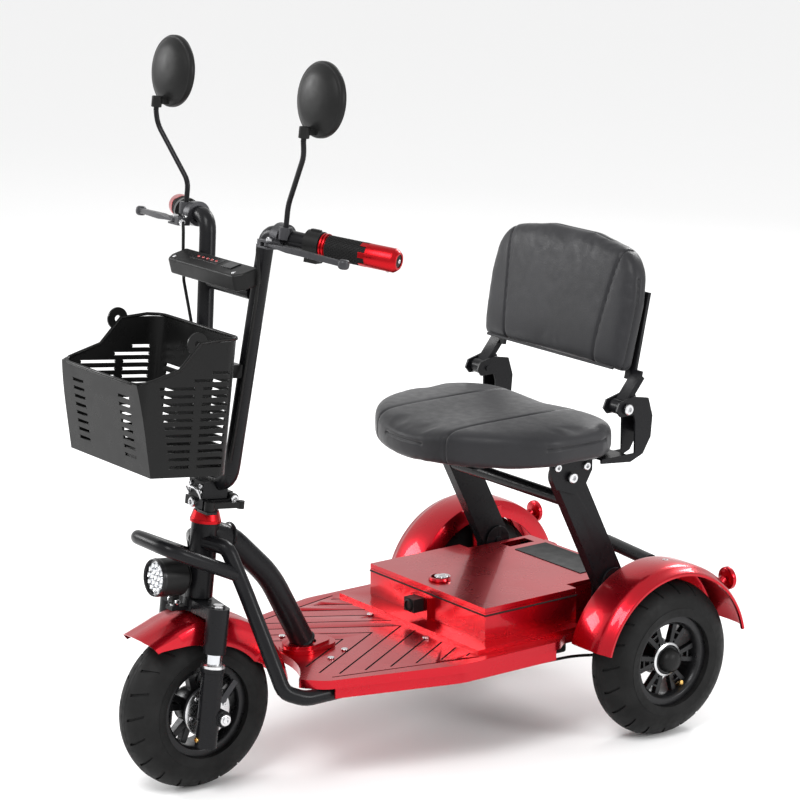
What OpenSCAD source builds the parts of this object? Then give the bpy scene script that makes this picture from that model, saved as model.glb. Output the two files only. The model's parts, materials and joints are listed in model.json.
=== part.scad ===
// Three-wheeled mobility scooter. Millimetres, +Z up, the front faces -Y and +X is the rider's left.
// The origin is the middle of the bounding box at ground level.

/* [Layout] */
// Distance between the front and rear axles
wheelbase = 724; // [690:1:780]
// Distance from the middle plane to the middle of each rear wheel
rear_track_half = 246; // [240:1:280]
// Rearward lean of the steering axis, in degrees
head_rake = 7; // [5:0.5:9]

/* [Wheels] */
// Outside radius of all three tyres
tyre_r = 127.5; // [122:0.5:128]
// Width of the tyres
tyre_w = 80; // [66:1:82]
// Radius where the tyre seats on the rim
rim_r = 74; // [68:1:80]
// Width of the rims
rim_w = 58; // [46:1:60]
// Radius of the front axle
front_axle_r = 6; // [5:0.5:8]
// Radius of the rear stub axles
rear_axle_r = 8; // [6:0.5:9]
// Radial clearance of a part that turns or slides on another
running_clear = 0.05; // [0.02:0.01:0.09]

/* [Fork] */
// Distance from the middle plane to each fork leg
leg_x = 64; // [63:0.5:68]
// Radius of the sliders
slider_r = 17; // [15:0.5:17.5]
// Radius of the stanchions
stanchion_r = 13; // [10:0.5:13.5]
// Travel of the suspension
fork_travel = 14; // [8:1:14]

/* [Deck and battery box] */
// Height of the deck's top face
deck_z = 178; // [172:1:190]
// Thickness of the deck
deck_t = 14; // [10:1:16]
// Half the width of the deck behind its taper
deck_half_w = 212; // [180:1:216]
// Half the width of the battery box
box_half_w = 153; // [140:1:156]
// Height of the box's lid above the deck
box_h = 58; // [50:1:64]
// Wall of the box's sheet metal
box_wall = 3; // [2:0.5:4]
// Thickness of the lid's rim
lid_h = 8; // [6:0.5:10]

/* [Seat] */
// Distance from the middle plane to each seat post
post_x = 150; // [146:1:154]
// Thickness of the seat posts across the scooter
post_t = 20; // [14:1:22]
// Width of the seat posts seen from the side
post_w = 52; // [44:1:54]
// Radius of the seat's pivot pins
post_pin_r = 6; // [4:0.5:8]
// Half the width of the seat cushion
seat_half_w = 205; // [190:1:215]
// Thickness of the seat cushion
seat_t = 58; // [50:1:62]
// Half the width of the backrest
back_half_w = 183; // [180:1:190]
// Thickness of the backrest
back_t = 40; // [34:1:44]
// Backward lean of the backrest, in degrees
back_lean = 12; // [8:0.5:15]

/* [Handlebar] */
// Radius of the handlebar's tube
bar_r = 12.7; // [11:0.1:13]
// Radius of the straight ends that carry the grips
bar_end_r = 11.1; // [10:0.1:11.2]
// Radius of the cross bar
cross_bar_r = 11; // [9:0.5:11.5]
// Radius of the grips
grip_r = 16.5; // [14.5:0.5:18]
// Radius of the mirror heads
mirror_r = 55; // [45:1:58]

/* [Basket] */
// Half the width of the basket at its rim
basket_half_w = 112; // [100:1:118]
// Wall of the basket
basket_wall = 3; // [2.5:0.5:4]
// Radius of the holes in the basket's ears
ear_hole_r = 5; // [3:0.5:6]

/* [Hidden] */
$fn = 64;
eps = 0.01;
gap = 0.3;

// Everything is drawn from the front axle's foot, then moved so that the box is centred.
front_axle_y = 0.5 - wheelbase / 2;

// Steered parts are drawn upright in a frame at the front axle, u across, v back and w up the fork.
steer_v = -10;
leg_v = -16;
crown_w = 152;
crown_h = 18;
head_bottom_w = crown_w + crown_h + 2;
head_top_w = 288;
cup_h = 18;
steerer_r = 15;
head_tube_r = 21;
block_w = head_top_w + cup_h + 6;
block_h = 14;
fold_v = 22;
fold_w = block_w + block_h + 0.5;
fold_pin_r = 5;
upper_block_h = 13;
bar_bottom_w = fold_w + upper_block_h + bar_r + 0.5;
riser_foot_u = 40;
riser_top = [80, 0, 742];
bar_knee = [138, 4, 738];
bar_tip = [292, 85, 730];
bar_reach = norm(bar_tip - bar_knee);
bar_sweep = atan2(bar_tip[1] - bar_knee[1], bar_tip[0] - bar_knee[0]);
bar_drop = asin((bar_knee[2] - bar_tip[2]) / bar_reach);
cross_bar_w = 646;

// Heights and places of the chassis.
rail_x = 135;
tube_r = 12;
deck_bottom = deck_z - deck_t;
rail_z = deck_bottom - tube_r - gap;
lid_top = deck_z + box_h;
lid_z = lid_top - lid_h;
box_front = 443;
box_rear = 759;
notch_y = 628;
notch_x = post_x - post_t / 2 - 12;
post_foot = [697, 236];
post_head = [603, 426];
post_lean = atan2(post_foot[0] - post_head[0], post_head[1] - post_foot[1]);
seat_z = 456;
seat_front = 388;
seat_rear = 698;
seat_corner_r = 80;
hinge_y = 690;
hinge_z = 530;
back_foot = [702, 584];
back_h = 210;
fender_r = 157;
fender_x = 248;
fender_half_w = 44;

// ---- helpers ----
function unit(v) = v / norm(v);
function bezier(a, b, c, t) = (1 - t) * (1 - t) * a + 2 * t * (1 - t) * b + t * t * c;
function toward(a, b, d) = a + unit(b - a) * d;
function at(d, i) = is_list(d) ? d[i] : d;
// A path through corner points, each rounded over the length d on both sides. d may be a list.
function rounded(p, d, n) = [
    p[0],
    for (i = [1:len(p) - 2]) for (k = [0:n])
        bezier(toward(p[i], p[i - 1], at(d, i)), p[i], toward(p[i], p[i + 1], at(d, i)), k / n),
    p[len(p) - 1]];
function mirrored(p) = [for (i = [len(p) - 1:-1:0]) [-p[i][0], p[i][1]]];
function tangent(p, i) = unit(p[min(i + 1, len(p) - 1)] - p[max(i - 1, 0)]);
function side_of(t) = abs(t[2]) < 0.8 ? unit(cross(t, [0, 0, 1])) : unit(cross(t, [0, 1, 0]));
function flatten(n, t) = unit(n - (n * t) * t);
function normals(p) = [
    for (i = 0, n = side_of(tangent(p, 0)); i < len(p);
        i = i + 1, n = i < len(p) ? flatten(n, tangent(p, i)) : n) n];

// A round bar that follows the path p.
module swept(p, r, sides = 20) {
    n = normals(p);
    rings = [for (i = [0:len(p) - 1]) let (t = tangent(p, i), b = cross(t, n[i]))
        for (k = [0:sides - 1]) p[i] + r * (cos(360 * k / sides) * n[i] + sin(360 * k / sides) * b)];
    last = (len(p) - 1) * sides;
    walls = [for (i = [0:len(p) - 2]) for (k = [0:sides - 1]) let (m = (k + 1) % sides)
        each [[i * sides + k, (i + 1) * sides + k, i * sides + m],
            [i * sides + m, (i + 1) * sides + k, (i + 1) * sides + m]]];
    caps = [[for (k = [0:sides - 1]) k], [for (k = [sides - 1:-1:0]) last + k]];
    polyhedron(rings, concat(walls, caps));
}

module from_axle() { translate([0, front_axle_y, 0]) children(); }
module steered() { from_axle() translate([0, 0, tyre_r]) rotate([-head_rake, 0, 0]) children(); }
module on_steer_axis() { steered() translate([0, steer_v, 0]) children(); }
module both() { children(); mirror([1, 0, 0]) children(); }
module side(s) { if (s > 0) children(); else mirror([1, 0, 0]) children(); }
module along_x(l) { rotate([0, 90, 0]) translate([0, 0, -l / 2]) children(); }
module rod_x(r, l) { along_x(l) cylinder(r = r, h = l); }
module ring(r1, r2, h) {
    difference() {
        cylinder(r = r2, h = h);
        translate([0, 0, -1]) cylinder(r = r1, h = h + 2);
    }
}
module block(x, y, z) { translate([x[0], y[0], z[0]]) cube([x[1] - x[0], y[1] - y[0], z[1] - z[0]]); }
// The left end of the handlebar: z runs out along the grip from the knee.
module on_bar(s, d = 0) {
    steered() side(s) translate(bar_knee) rotate([0, 0, bar_sweep]) rotate([0, 90 + bar_drop, 0])
        translate([0, 0, d]) children();
}

// ---- wheels ----
module tyre() {
    bulge = tyre_w / 2;
    rotate([0, 90, 0]) rotate_extrude($fn = 96) intersection() {
        translate([tyre_r - bulge, 0]) circle(r = bulge);
        translate([rim_r + running_clear, -bulge]) square([tyre_r, tyre_w]);
    }
}

module rim(bore, spokes, spoke_x, hub_r, hub_in, hub_out, cap_r, cap_out) {
    hub_l = hub_out - hub_in;
    difference() {
        union() {
            along_x(rim_w) ring(rim_r - 7, rim_r, rim_w);
            translate([hub_in, 0, 0]) rotate([0, 90, 0]) cylinder(r = hub_r, h = hub_l);
            if (cap_out > hub_out) translate([hub_out - 1, 0, 0]) rotate([0, 90, 0])
                cylinder(r = cap_r, h = cap_out - hub_out + 1);
            for (k = [0:spokes - 1]) rotate([360 * k / spokes, 0, 0])
                for (s = [-1, 1]) rotate([s * 9, 0, 0])
                    block([spoke_x - 5, spoke_x + 5], [-4, 4], [hub_r - 3, rim_r - 5]);
        }
        translate([hub_in - 1, 0, 0]) rotate([0, 90, 0])
            cylinder(r = bore + running_clear, h = (cap_out > hub_out ? hub_l - 1 : hub_l + 2));
    }
}

hub_in = -34;
hub_out = 36;
stub_end = rear_track_half + hub_out - 4;
module rear_tyre(s) { from_axle() translate([s * rear_track_half, wheelbase, tyre_r]) tyre(); }
module rear_rim(s) {
    from_axle() translate([s * rear_track_half, wheelbase, tyre_r]) side(s)
        rim(rear_axle_r, 6, 14, 26, hub_in, hub_out, 17, hub_out + 6);
}
module rear_tyre_left() { color([0.07, 0.07, 0.07]) rear_tyre(1); }
module rear_tyre_right() { color([0.07, 0.07, 0.07]) rear_tyre(-1); }
module rear_rim_left() { color([0.13, 0.13, 0.14]) rear_rim(1); }
module rear_rim_right() { color([0.13, 0.13, 0.14]) rear_rim(-1); }
module front_tyre() { color([0.07, 0.07, 0.07]) from_axle() translate([0, 0, tyre_r]) tyre(); }
module front_rim() {
    color([0.13, 0.13, 0.14]) from_axle() translate([0, 0, tyre_r])
        rim(front_axle_r, 5, 0, 30, -29, 29, 0, 0);
}

// ---- fork and steering ----
module front_axle() {
    color([0.55, 0.55, 0.57]) steered() {
        rod_x(front_axle_r, 2 * (leg_x + lug_half));
        both() translate([leg_x + lug_half + 3.5, 0, 0]) rod_x(9, 7);
    }
}

// Each slider is a tube with a lug behind it that holds the axle.
lug_half = slider_r + 0.5;
stanchion_foot = 24;
module slider_leg() {
    bottom = -46;
    top = 78;
    bore_bottom = stanchion_foot - fork_travel - 2;
    difference() {
        union() {
            translate([leg_x, leg_v, bottom]) cylinder(r = slider_r, h = top - bottom);
            translate([leg_x, leg_v, top - 6]) cylinder(r = slider_r + 2, h = 6);
            translate([leg_x, 0, 0]) rod_x(13, 2 * lug_half);
        }
        translate([leg_x, leg_v, bore_bottom]) cylinder(r = stanchion_r + running_clear, h = top);
        translate([leg_x, 0, 0]) rod_x(front_axle_r, 44);
    }
}
module fork_sliders() { color([0.1, 0.1, 0.1]) steered() both() slider_leg(); }
module fork_stanchions() {
    color([0.78, 0.79, 0.8]) steered() both()
        translate([leg_x, leg_v, stanchion_foot]) cylinder(r = stanchion_r, h = crown_w - stanchion_foot);
}
sleeve_bottom = 78 + fork_travel + 8;

module front_brake() {
    plate_x = rim_w / 2 + 3;
    color([0.16, 0.16, 0.17]) steered() difference() {
        union() {
            translate([plate_x + 2, 0, 0]) rod_x(40, 4);
            translate([(plate_x + leg_x - lug_half) / 2, 0, 0]) rod_x(13, leg_x - lug_half - plate_x);
            translate([plate_x + 6, 24, 18]) rod_x(6, 9);
            translate([plate_x + 8, 24, 18]) rotate([-35, 0, 0]) block([-2, 2], [-5, 5], [0, 34]);
        }
        rod_x(front_axle_r, 200);
    }
}

module crown_outline() {
    end_r = slider_r + 0.5;
    polygon([[0, steer_v - leg_v - 24], [0, 24], [leg_x, end_r - steer_v + leg_v],
        [leg_x, -end_r - steer_v + leg_v], [22, -22]]);
    translate([leg_x, leg_v - steer_v]) circle(r = end_r);
}
module fork_crown() {
    color([0.1, 0.1, 0.1]) difference() {
        union() {
            on_steer_axis() translate([0, 0, crown_w]) linear_extrude(crown_h) {
                both() crown_outline();
                circle(r = 24);
            }
            steered() both() translate([leg_x, leg_v, sleeve_bottom])
                cylinder(r = slider_r + 0.5, h = crown_w - sleeve_bottom + 1);
            on_steer_axis() {
                block([-9, 9], [-52, -20], [crown_w + 2, crown_w + 8]);
                for (s = [-1, 1]) {
                    block([s * 7 - 2, s * 7 + 2], [-48.5, -39.5], [crown_w + 2, light_pivot_w]);
                    translate([s * 7, light_pivot_v, light_pivot_w]) rod_x(4.5, 4);
                }
            }
        }
        steered() both() translate([leg_x, leg_v, sleeve_bottom - 1])
            cylinder(r = stanchion_r, h = crown_w - sleeve_bottom + 1);
        on_light_pivot() rod_x(3, 30);
    }
}

light_r = 29;
light_pivot_v = -44;
light_pivot_w = crown_w + 16;
light_rise = 37;
module on_light_pivot() { on_steer_axis() translate([0, light_pivot_v, light_pivot_w]) children(); }
module headlight_body() {
    color([0.09, 0.09, 0.09]) on_light_pivot() {
        rod_x(3 - running_clear, 22);
        difference() {
            union() {
                translate([0, 6, light_rise]) rotate([90, 0, 0]) cylinder(r = light_r, h = 44);
                for (k = [0:3]) translate([0, 14 - 4 * k, light_rise]) rotate([90, 0, 0])
                    cylinder(r = 22 + k, h = 2);
                translate([0, 14, light_rise]) rotate([90, 0, 0]) cylinder(r = 20, h = 12);
                rod_x(6, 9.6);
                block([-4.8, 4.8], [-6, 6], [0, light_rise - light_r + 3]);
            }
            translate([0, -32, light_rise]) rotate([90, 0, 0]) cylinder(r = light_r - 3, h = 8);
        }
    }
}
module headlight_lens() {
    color([0.9, 0.92, 0.95]) on_light_pivot() translate([0, -32 - eps, light_rise]) rotate([90, 0, 0])
        cylinder(r = light_r - 3 - running_clear, h = 4.5);
}

module fender_profile(r, half_w, depth, t) {
    translate([r - t, -half_w]) square([t, 2 * half_w]);
    for (s = [-1, 1]) translate([r - depth, s > 0 ? half_w - t : -half_w]) square([depth - eps, t]);
}
// An arched mudguard about the X axis, from one angle to another above the horizontal at the back.
module fender_arc(r, half_w, depth, t, from, to) {
    rotate([0, 90, 0]) rotate([0, 0, 90 + from]) rotate_extrude(angle = to - from, $fn = 128)
        fender_profile(r, half_w, depth, t);
}
front_fender_half = 46;
module front_fender() {
    r = crown_w - 0.5;
    color([0.72, 0.04, 0.09]) steered() {
        fender_arc(r, front_fender_half, 30, 2.5, 16, 132);
        rotate([42, 0, 0]) block([-front_fender_half + 4, front_fender_half - 4],
            [-22, 2], [r - 2.6, r]);
    }
}

module steerer() {
    color([0.12, 0.12, 0.13]) {
        on_steer_axis() translate([0, 0, crown_w + crown_h])
            cylinder(r = steerer_r, h = block_w - crown_w - crown_h + 2);
        steered() {
            block([12, lever_u + 9], [lever_v - 9, lever_v + 9], [block_w - 5, block_w - 1]);
            translate([lever_u, lever_v, block_w - 3]) cylinder(r = lever_pin_r, h = block_h + 2);
        }
        difference() {
            union() {
                on_steer_axis() translate([0, 0, block_w - 5]) cylinder(r = 18, h = 6);
                steered() {
                    block([-24, 24], [-34, 12], [block_w, block_w + block_h]);
                    both() block([15, 24], [10, fold_v], [block_w, fold_w]);
                    both() translate([19.5, fold_v, fold_w]) rod_x(8.5, 9);
                }
            }
            lever_room();
        }
        steered() translate([0, fold_v, fold_w]) rod_x(fold_pin_r, 48);
    }
}
// The head tube and its cup turn round the steerer.
module head_tube() {
    color([0.1, 0.1, 0.1]) on_steer_axis() translate([0, 0, head_bottom_w])
        ring(steerer_r + running_clear, head_tube_r, head_top_w - head_bottom_w);
}
module headset_cup() {
    color([0.78, 0.08, 0.08]) on_steer_axis() translate([0, 0, head_top_w]) difference() {
        union() {
            cylinder(r = 24, h = 5);
            translate([0, 0, 5]) cylinder(r1 = 23.5, r2 = 19.5, h = cup_h - 5);
        }
        translate([0, 0, -1]) cylinder(r = steerer_r + running_clear, h = cup_h + 2);
    }
}

// ---- fold joint ----
lever_v = -26;
lever_u = 31;
lever_pin_r = 3;
module lever_room() {
    steered() translate([lever_u, lever_v, block_w - 1 + eps]) cylinder(r = 9.5, h = block_h + 4);
}
module fold_block() {
    w = fold_w + 0.5;
    color([0.12, 0.12, 0.13]) steered() difference() {
        union() {
            block([-20, 20], [-32, 12], [w, bar_bottom_w]);
            block([-14, 14], [10, fold_v + 4], [w, w + 9]);
            translate([0, fold_v, fold_w]) rod_x(8.5, 28);
        }
        translate([0, fold_v, fold_w]) rod_x(fold_pin_r + running_clear, 60);
        translate([0, 0, bar_bottom_w]) rod_x(bar_r + 0.1, 60);
    }
}
module fold_lever() {
    length = 56;
    mid_w = block_w + block_h / 2;
    color([0.1, 0.1, 0.1]) steered() translate([lever_u, lever_v, mid_w]) difference() {
        union() {
            translate([0, 0, gap - 1 - block_h / 2]) cylinder(r = 8, h = block_h);
            block([-4, 4], [0, length], [-4.5, 4.5]);
            translate([0, length, -6]) cylinder(r = 6, h = 12);
        }
        cylinder(r = lever_pin_r + running_clear, h = 2 * block_h, center = true);
    }
}

// ---- handlebar ----
function flip(p) = [-p[0], p[1], p[2]];
bend_end = 24;
half_bar = [[riser_foot_u, 0, bar_bottom_w], riser_top, bar_knee, toward(bar_knee, bar_tip, bend_end)];
bar_bends = [0, 18, 26, 30, 30, 26, 18, 0];
module handlebar() {
    path = concat([for (i = [len(half_bar) - 1:-1:0]) flip(half_bar[i])], half_bar);
    color([0.09, 0.09, 0.09]) steered() swept(rounded(path, bar_bends, 6), bar_r, 24);
}
// The straight ends inside the grips, and the bar across the risers.
module bar_tubes() {
    riser_slope = (riser_top[0] - riser_foot_u) / (riser_top[2] - bar_bottom_w);
    cross_half = riser_foot_u + riser_slope * (cross_bar_w - bar_bottom_w) - bar_r - 1.2;
    color([0.1, 0.1, 0.1]) {
        for (s = [-1, 1]) on_bar(s, bend_end + 0.1) cylinder(r = bar_end_r, h = bar_reach - bend_end - 10);
        steered() translate([0, 0, cross_bar_w]) rod_x(cross_bar_r, 2 * cross_half);
    }
}
housing_d = 26;
housing_l = 24;
grip_d = housing_d + housing_l + 1;
module grip_shape() {
    l = bar_reach - grip_d;
    difference() {
        union() {
            cylinder(r = grip_r, h = l - 8);
            cylinder(r = grip_r + 2.5, h = 3);
            translate([0, 0, 5]) cylinder(r = grip_r + 2.5, h = 3);
            translate([0, 0, l - 8 - eps]) cylinder(r1 = grip_r, r2 = grip_r - 4, h = 8);
        }
        translate([0, 0, -1]) cylinder(r = bar_end_r + running_clear, h = l - 5);
    }
}
module grip_left() { color([0.12, 0.12, 0.12]) on_bar(1, grip_d) grip_shape(); }
module throttle_grip() { color([0.12, 0.12, 0.12]) on_bar(-1, grip_d) grip_shape(); }
module control_housings() {
    color([0.08, 0.08, 0.08]) {
        for (s = [-1, 1]) on_bar(s, housing_d) difference() {
            union() {
                cylinder(r = 20, h = housing_l);
                if (s > 0) block([5, 27], [-11, 11], [2, housing_l - 2]);
            }
            translate([0, 0, -1]) cylinder(r = bar_end_r + 0.02, h = housing_l + 2);
            if (s > 0) block([-24, -17], [-6, 6], [4, housing_l - 4]);
        }
    }
}
module switch_slider() {
    color([0.2, 0.2, 0.2]) on_bar(1, housing_d) block([-22, -17.1], [-5.8, 2], [4.2, housing_l - 4.2]);
}

// A clamp round the bar that carries the lever's pivot and the mirror's boss.
perch_u = 116;
lever_pin = [perch_u + 10, -28, 728];
mirror_boss = [134, -6, 737];
// z runs along the upper bend of the bar, through the clamp.
module on_perch() {
    run = bar_knee - riser_top;
    translate(riser_top + run * (perch_u - riser_top[0]) / run[0])
        rotate([0, 0, atan2(run[1], run[0])]) rotate([0, 90 - asin(run[2] / norm(run)), 0]) children();
}
module bar_clamp() {
    difference() {
        union() {
            on_perch() cylinder(r = 19, h = 16, center = true);
            translate(mirror_boss) cylinder(r = 10, h = 18);
            block([perch_u - 9, perch_u + 18], [-36, -14], [lever_pin[2] - 6, lever_pin[2] + 6]);
        }
        on_perch() cylinder(r = bar_r + 0.1, h = 70, center = true);
        translate(lever_pin + [0, 0, -10]) cylinder(r = 3 + running_clear, h = 30);
        block([lever_pin[0] - 10, lever_pin[0] + 14], [-46, -17], [lever_pin[2] - 3, lever_pin[2] + 3]);
        translate(mirror_boss + [0, 0, 12]) cylinder(r = 4.02, h = 20);
    }
}
module lever_perches() { color([0.2, 0.2, 0.21]) steered() both() bar_clamp(); }
module brake_lever() {
    tip = [272, 2, 722];
    reach = norm([tip[0] - lever_pin[0], tip[1] - lever_pin[1]]);
    turn = atan2(tip[1] - lever_pin[1], tip[0] - lever_pin[0]);
    steered() translate(lever_pin) {
        translate([0, 0, -2.8]) cylinder(r = 7, h = 5.6);
        translate([0, 0, -6]) cylinder(r = 3, h = 12);
        rotate([0, 0, turn]) {
            block([0, reach], [-5, 5], [-2.6, 2.6]);
            translate([reach, 0, 0]) sphere(r = 8.5);
        }
    }
}
module brake_lever_left() { color([0.4, 0.4, 0.42]) brake_lever(); }
module brake_lever_right() { color([0.4, 0.4, 0.42]) mirror([1, 0, 0]) brake_lever(); }

mirror_pin = [197, -34, 886];
mirror_pin_l = 14;
module mirror_stems() {
    path = [[134, -6, 750], [134, -6, 786], [196, -30, 866], mirror_pin];
    color([0.08, 0.08, 0.08]) steered() both() {
        swept(rounded(path, 12, 4), 4, 16);
        translate(mirror_pin) cylinder(r = 4, h = mirror_pin_l);
    }
}
module mirror_head(s) {
    color([0.09, 0.09, 0.09]) steered() side(s) {
        translate(mirror_pin + [0, 16, 61]) rotate([90, 0, 0]) {
            translate([0, 0, -14]) cylinder(r = mirror_r, h = 9);
            translate([0, 0, -5 - eps]) cylinder(r1 = mirror_r - 1, r2 = mirror_r * 0.55, h = 13);
        }
        translate(mirror_pin) difference() {
            union() {
                translate([0, 0, 5]) cylinder(r = 8, h = 17);
                block([-5, 5], [0, 18], [10, 22]);
            }
            cylinder(r = 4 + running_clear, h = mirror_pin_l + 1);
        }
    }
}
module mirror_left() { mirror_head(1); }
module mirror_right() { mirror_head(-1); }

module control_panel() {
    color([0.08, 0.08, 0.08]) steered() translate([0, -24, 662]) rotate([20, 0, 0]) {
        linear_extrude(26) polygon([[-98, -16], [-88, -30], [88, -30], [98, -16], [98, 11.5], [-98, 11.5]]);
    }
}

// ---- basket, drawn in the steered frame ----
basket_back_v = -48;
basket_floor_w = 384;
basket_rim_w = 587;
basket_front_w = 520;
ear = [-126, basket_rim_w - 7];
module basket_body(inset) {
    floor_w = basket_floor_w + (inset > 0 ? basket_wall : 0);
    outer = basket_half_w - inset;
    rotate([90, 0, 90]) translate([0, 0, -outer]) linear_extrude(2 * outer) polygon([
        [basket_back_v - inset, floor_w], [-187 + inset, floor_w], [-251 + inset, 650],
        [basket_back_v - inset, 650]]);
}
module basket_corners(inset) {
    r = 26 - inset;
    translate([0, 0, basket_floor_w - 2]) linear_extrude(300) hull() for (s = [-1, 1]) {
        translate([s * (basket_half_w - inset - r), -228 + inset + r]) circle(r = r);
        translate([s * (basket_half_w - inset - r), basket_back_v - inset - r]) circle(r = r);
    }
}
module basket_side_outline() {
    polygon([[-300, basket_floor_w - 5], [0, basket_floor_w - 5], [0, basket_rim_w],
        [-120, basket_rim_w - 6], [-152, basket_front_w + 22], [-216, basket_front_w],
        [-300, basket_front_w]]);
    translate(ear) circle(r = 17);
}
module basket() {
    color([0.07, 0.07, 0.07]) steered() difference() {
        union() {
            intersection() {
                basket_body(0);
                basket_corners(0);
                rotate([90, 0, 90]) translate([0, 0, -150]) linear_extrude(300) basket_side_outline();
            }
            for (s = [-1, 1])
                block([s * 56 - 10, s * 56 + 10], [basket_back_v - 1, -bar_r - 0.5], [520, 540]);
        }
        intersection() { basket_body(basket_wall); basket_corners(basket_wall); }
        translate([0, ear[0], ear[1]]) rod_x(ear_hole_r, 300);
    }
}

module brake_cables() {
    color([0.05, 0.05, 0.05]) steered() {
        for (s = [-1, 1]) side(s) {
            swept(rounded([[106.9, -30, 727], [101, -30, 726], [100, -29, 714], [103, -24, 680],
                [98, -22, 640], [80, -14, 580], [72.5, -13, 530], [62, -13, 440], [56, -14, 390]],
                2.5, 2), 2.5, 8);
        }
    }
}

// ---- frame tubes ----
module weld_room() {
    on_steer_axis() translate([0, 0, head_bottom_w - 30]) cylinder(r = head_tube_r + 0.2, h = 220);
}
backbone_r = 19;
backbone_path = [[0, 24, 398], [0, 62, 388], [0, 140, 308], [0, 203, deck_z + 10]];
module backbone() {
    color([0.09, 0.09, 0.09]) difference() {
        from_axle() swept(rounded(backbone_path, 28, 5), backbone_r, 28);
        weld_room();
    }
}
down_path = [[12, 16, 386], [47, 33, 383], [64, 54, 313], [97, 67, 238], [126, 80, rail_z + 14],
    [rail_x, 112, rail_z], [rail_x, wheelbase - 12.2, rail_z]];
module down_tube(s) {
    color([0.09, 0.09, 0.09]) difference() {
        from_axle() side(s) swept(rounded(down_path, 12, 3), tube_r, 20);
        weld_room();
    }
}
module down_tube_left() { down_tube(1); }
module down_tube_right() { down_tube(-1); }
module crash_hoop() {
    r = 11;
    end = [57, 46, 340];
    path = [flip(end), [-57, -20, 372], [-50, -72, 398], [50, -72, 398], [57, -20, 372], end];
    color([0.09, 0.09, 0.09]) difference() {
        from_axle() swept(rounded(path, 25, 5), r, 20);
        from_axle() both() swept(rounded(down_path, 12, 3), tube_r + 0.2, 20);
    }
}

// ---- deck ----
deck_front = 112;
deck_rear = 800;
deck_rear_half = 192;
// The steered wheel and its fender sweep this round bay out of the deck's front edge.
bay_y = -4.5;
bay_r = 166;
deck_edge = rounded([[0, deck_front], [118, deck_front], [150, deck_front + 30], [deck_half_w, 355],
    [deck_half_w, 548], [deck_rear_half, 570], [deck_rear_half, deck_rear], [0, deck_rear]], 12, 3);
// A skirt hangs under each long edge.
skirt_h = 16;
skirt_line = rounded([toward([150, deck_front + 30], [deck_half_w, 355], 14), [deck_half_w, 355],
    [deck_half_w, 540]], 12, 3);
skirt_edge = concat([for (p = skirt_line) p - [0.6, 0]],
    [for (i = [len(skirt_line) - 1:-1:0]) skirt_line[i] - [3.6, 0]]);
module deck_plate() {
    color([0.74, 0.05, 0.1]) from_axle() translate([0, 0, deck_bottom]) difference() {
        union() {
            linear_extrude(deck_t) polygon(concat(deck_edge, mirrored(deck_edge)));
            both() translate([0, 0, -skirt_h]) linear_extrude(skirt_h + 1) polygon(skirt_edge);
        }
        translate([0, bay_y, -1]) cylinder(r = bay_r, h = deck_t + 2);
        for (p = screw_places) translate([p[0], p[1], deck_t - 9]) cylinder(r = 2.5, h = 20);
    }
}
screw_places = [[-66, 249], [46, 249], [67, 208], [-67, 208], [75, 386], [-75, 386]];
module deck_screws() {
    color([0.8, 0.8, 0.8]) from_axle() for (p = screw_places) translate([p[0], p[1], deck_z]) {
        translate([0, 0, -8]) cylinder(r = 2.5, h = 8);
        cylinder(r = 5.5, h = 3);
    }
}
module deck_socket() {
    color([0.74, 0.05, 0.1]) from_axle() difference() {
        translate([0, 0, deck_z]) {
            linear_extrude(7) socket_outline(0);
            translate([0, 0, 7]) linear_extrude(5) socket_outline(5);
        }
        swept(rounded(backbone_path, 28, 5), backbone_r + gap, 28);
        translate([0, 203, deck_z + 4]) cylinder(r = backbone_r + 1, h = 20);
    }
}
module socket_outline(inset) {
    hull() {
        translate([0, 197]) circle(r = 34 - inset);
        translate([0, 232 - inset]) circle(r = 26 - inset);
    }
}

// ---- battery box ----
module box_outline(inset) {
    half = box_half_w - inset;
    front = box_front + inset;
    notch = notch_y - inset;
    rear = box_rear - inset;
    narrow = notch_x - inset;
    polygon([[-half, front], [half, front], [half, notch], [narrow, notch], [narrow, rear],
        [-narrow, rear], [-narrow, notch], [-half, notch]]);
}
flange_t = 6;
module battery_cover() {
    color([0.74, 0.05, 0.1]) from_axle() difference() {
        union() {
            translate([0, 0, deck_z]) linear_extrude(lid_z - deck_z) box_outline(0);
            block([-186, 186], [404, notch_y - 14], [deck_z, deck_z + flange_t]);
            block([-30, 14], [box_front - 9, box_front + 1], [deck_z, deck_z + 40]);
            both() translate([hinge_x, lid_hinge[0], lid_hinge[1]]) for (s = [-1, 1]) {
                translate([s * 12.5, 0, 0]) rod_x(4.5, 3);
                block([s * 12.5 - 1.5, s * 12.5 + 1.5], [box_rear - 1 - lid_hinge[0], 2], [-14, -2.2]);
            }
        }
        translate([0, 0, deck_z - 1]) linear_extrude(lid_z - deck_z + 2) box_outline(box_wall);
        for (p = screw_places) translate([p[0], p[1], deck_z - 1]) cylinder(r = 7, h = 20);
        translate([-8, box_front + 10, port_z]) rotate([90, 0, 0]) cylinder(r = 8.02, h = 40);
    }
    color([0.6, 0.6, 0.62]) from_axle() both()
        translate([hinge_x, lid_hinge[0], lid_hinge[1]]) rod_x(lid_pin_r, 28);
}
port_z = deck_z + 28;
module charge_port() {
    color([0.06, 0.06, 0.06]) from_axle() translate([-8, box_front - 9, port_z]) {
        translate([0, 14, 0]) rotate([90, 0, 0]) cylinder(r = 8, h = 14.5);
        block([-13, 13], [-20, 0], [-10, 12]);
    }
}
module battery_pack() {
    color([0.1, 0.25, 0.5]) from_axle() block([-105, 105], [470, 735], [deck_z, lid_z - 8]);
}
lid_hinge = [box_rear + 5.5, lid_z + 2];
lid_pin_r = 2.5;
hinge_x = 80;
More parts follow.
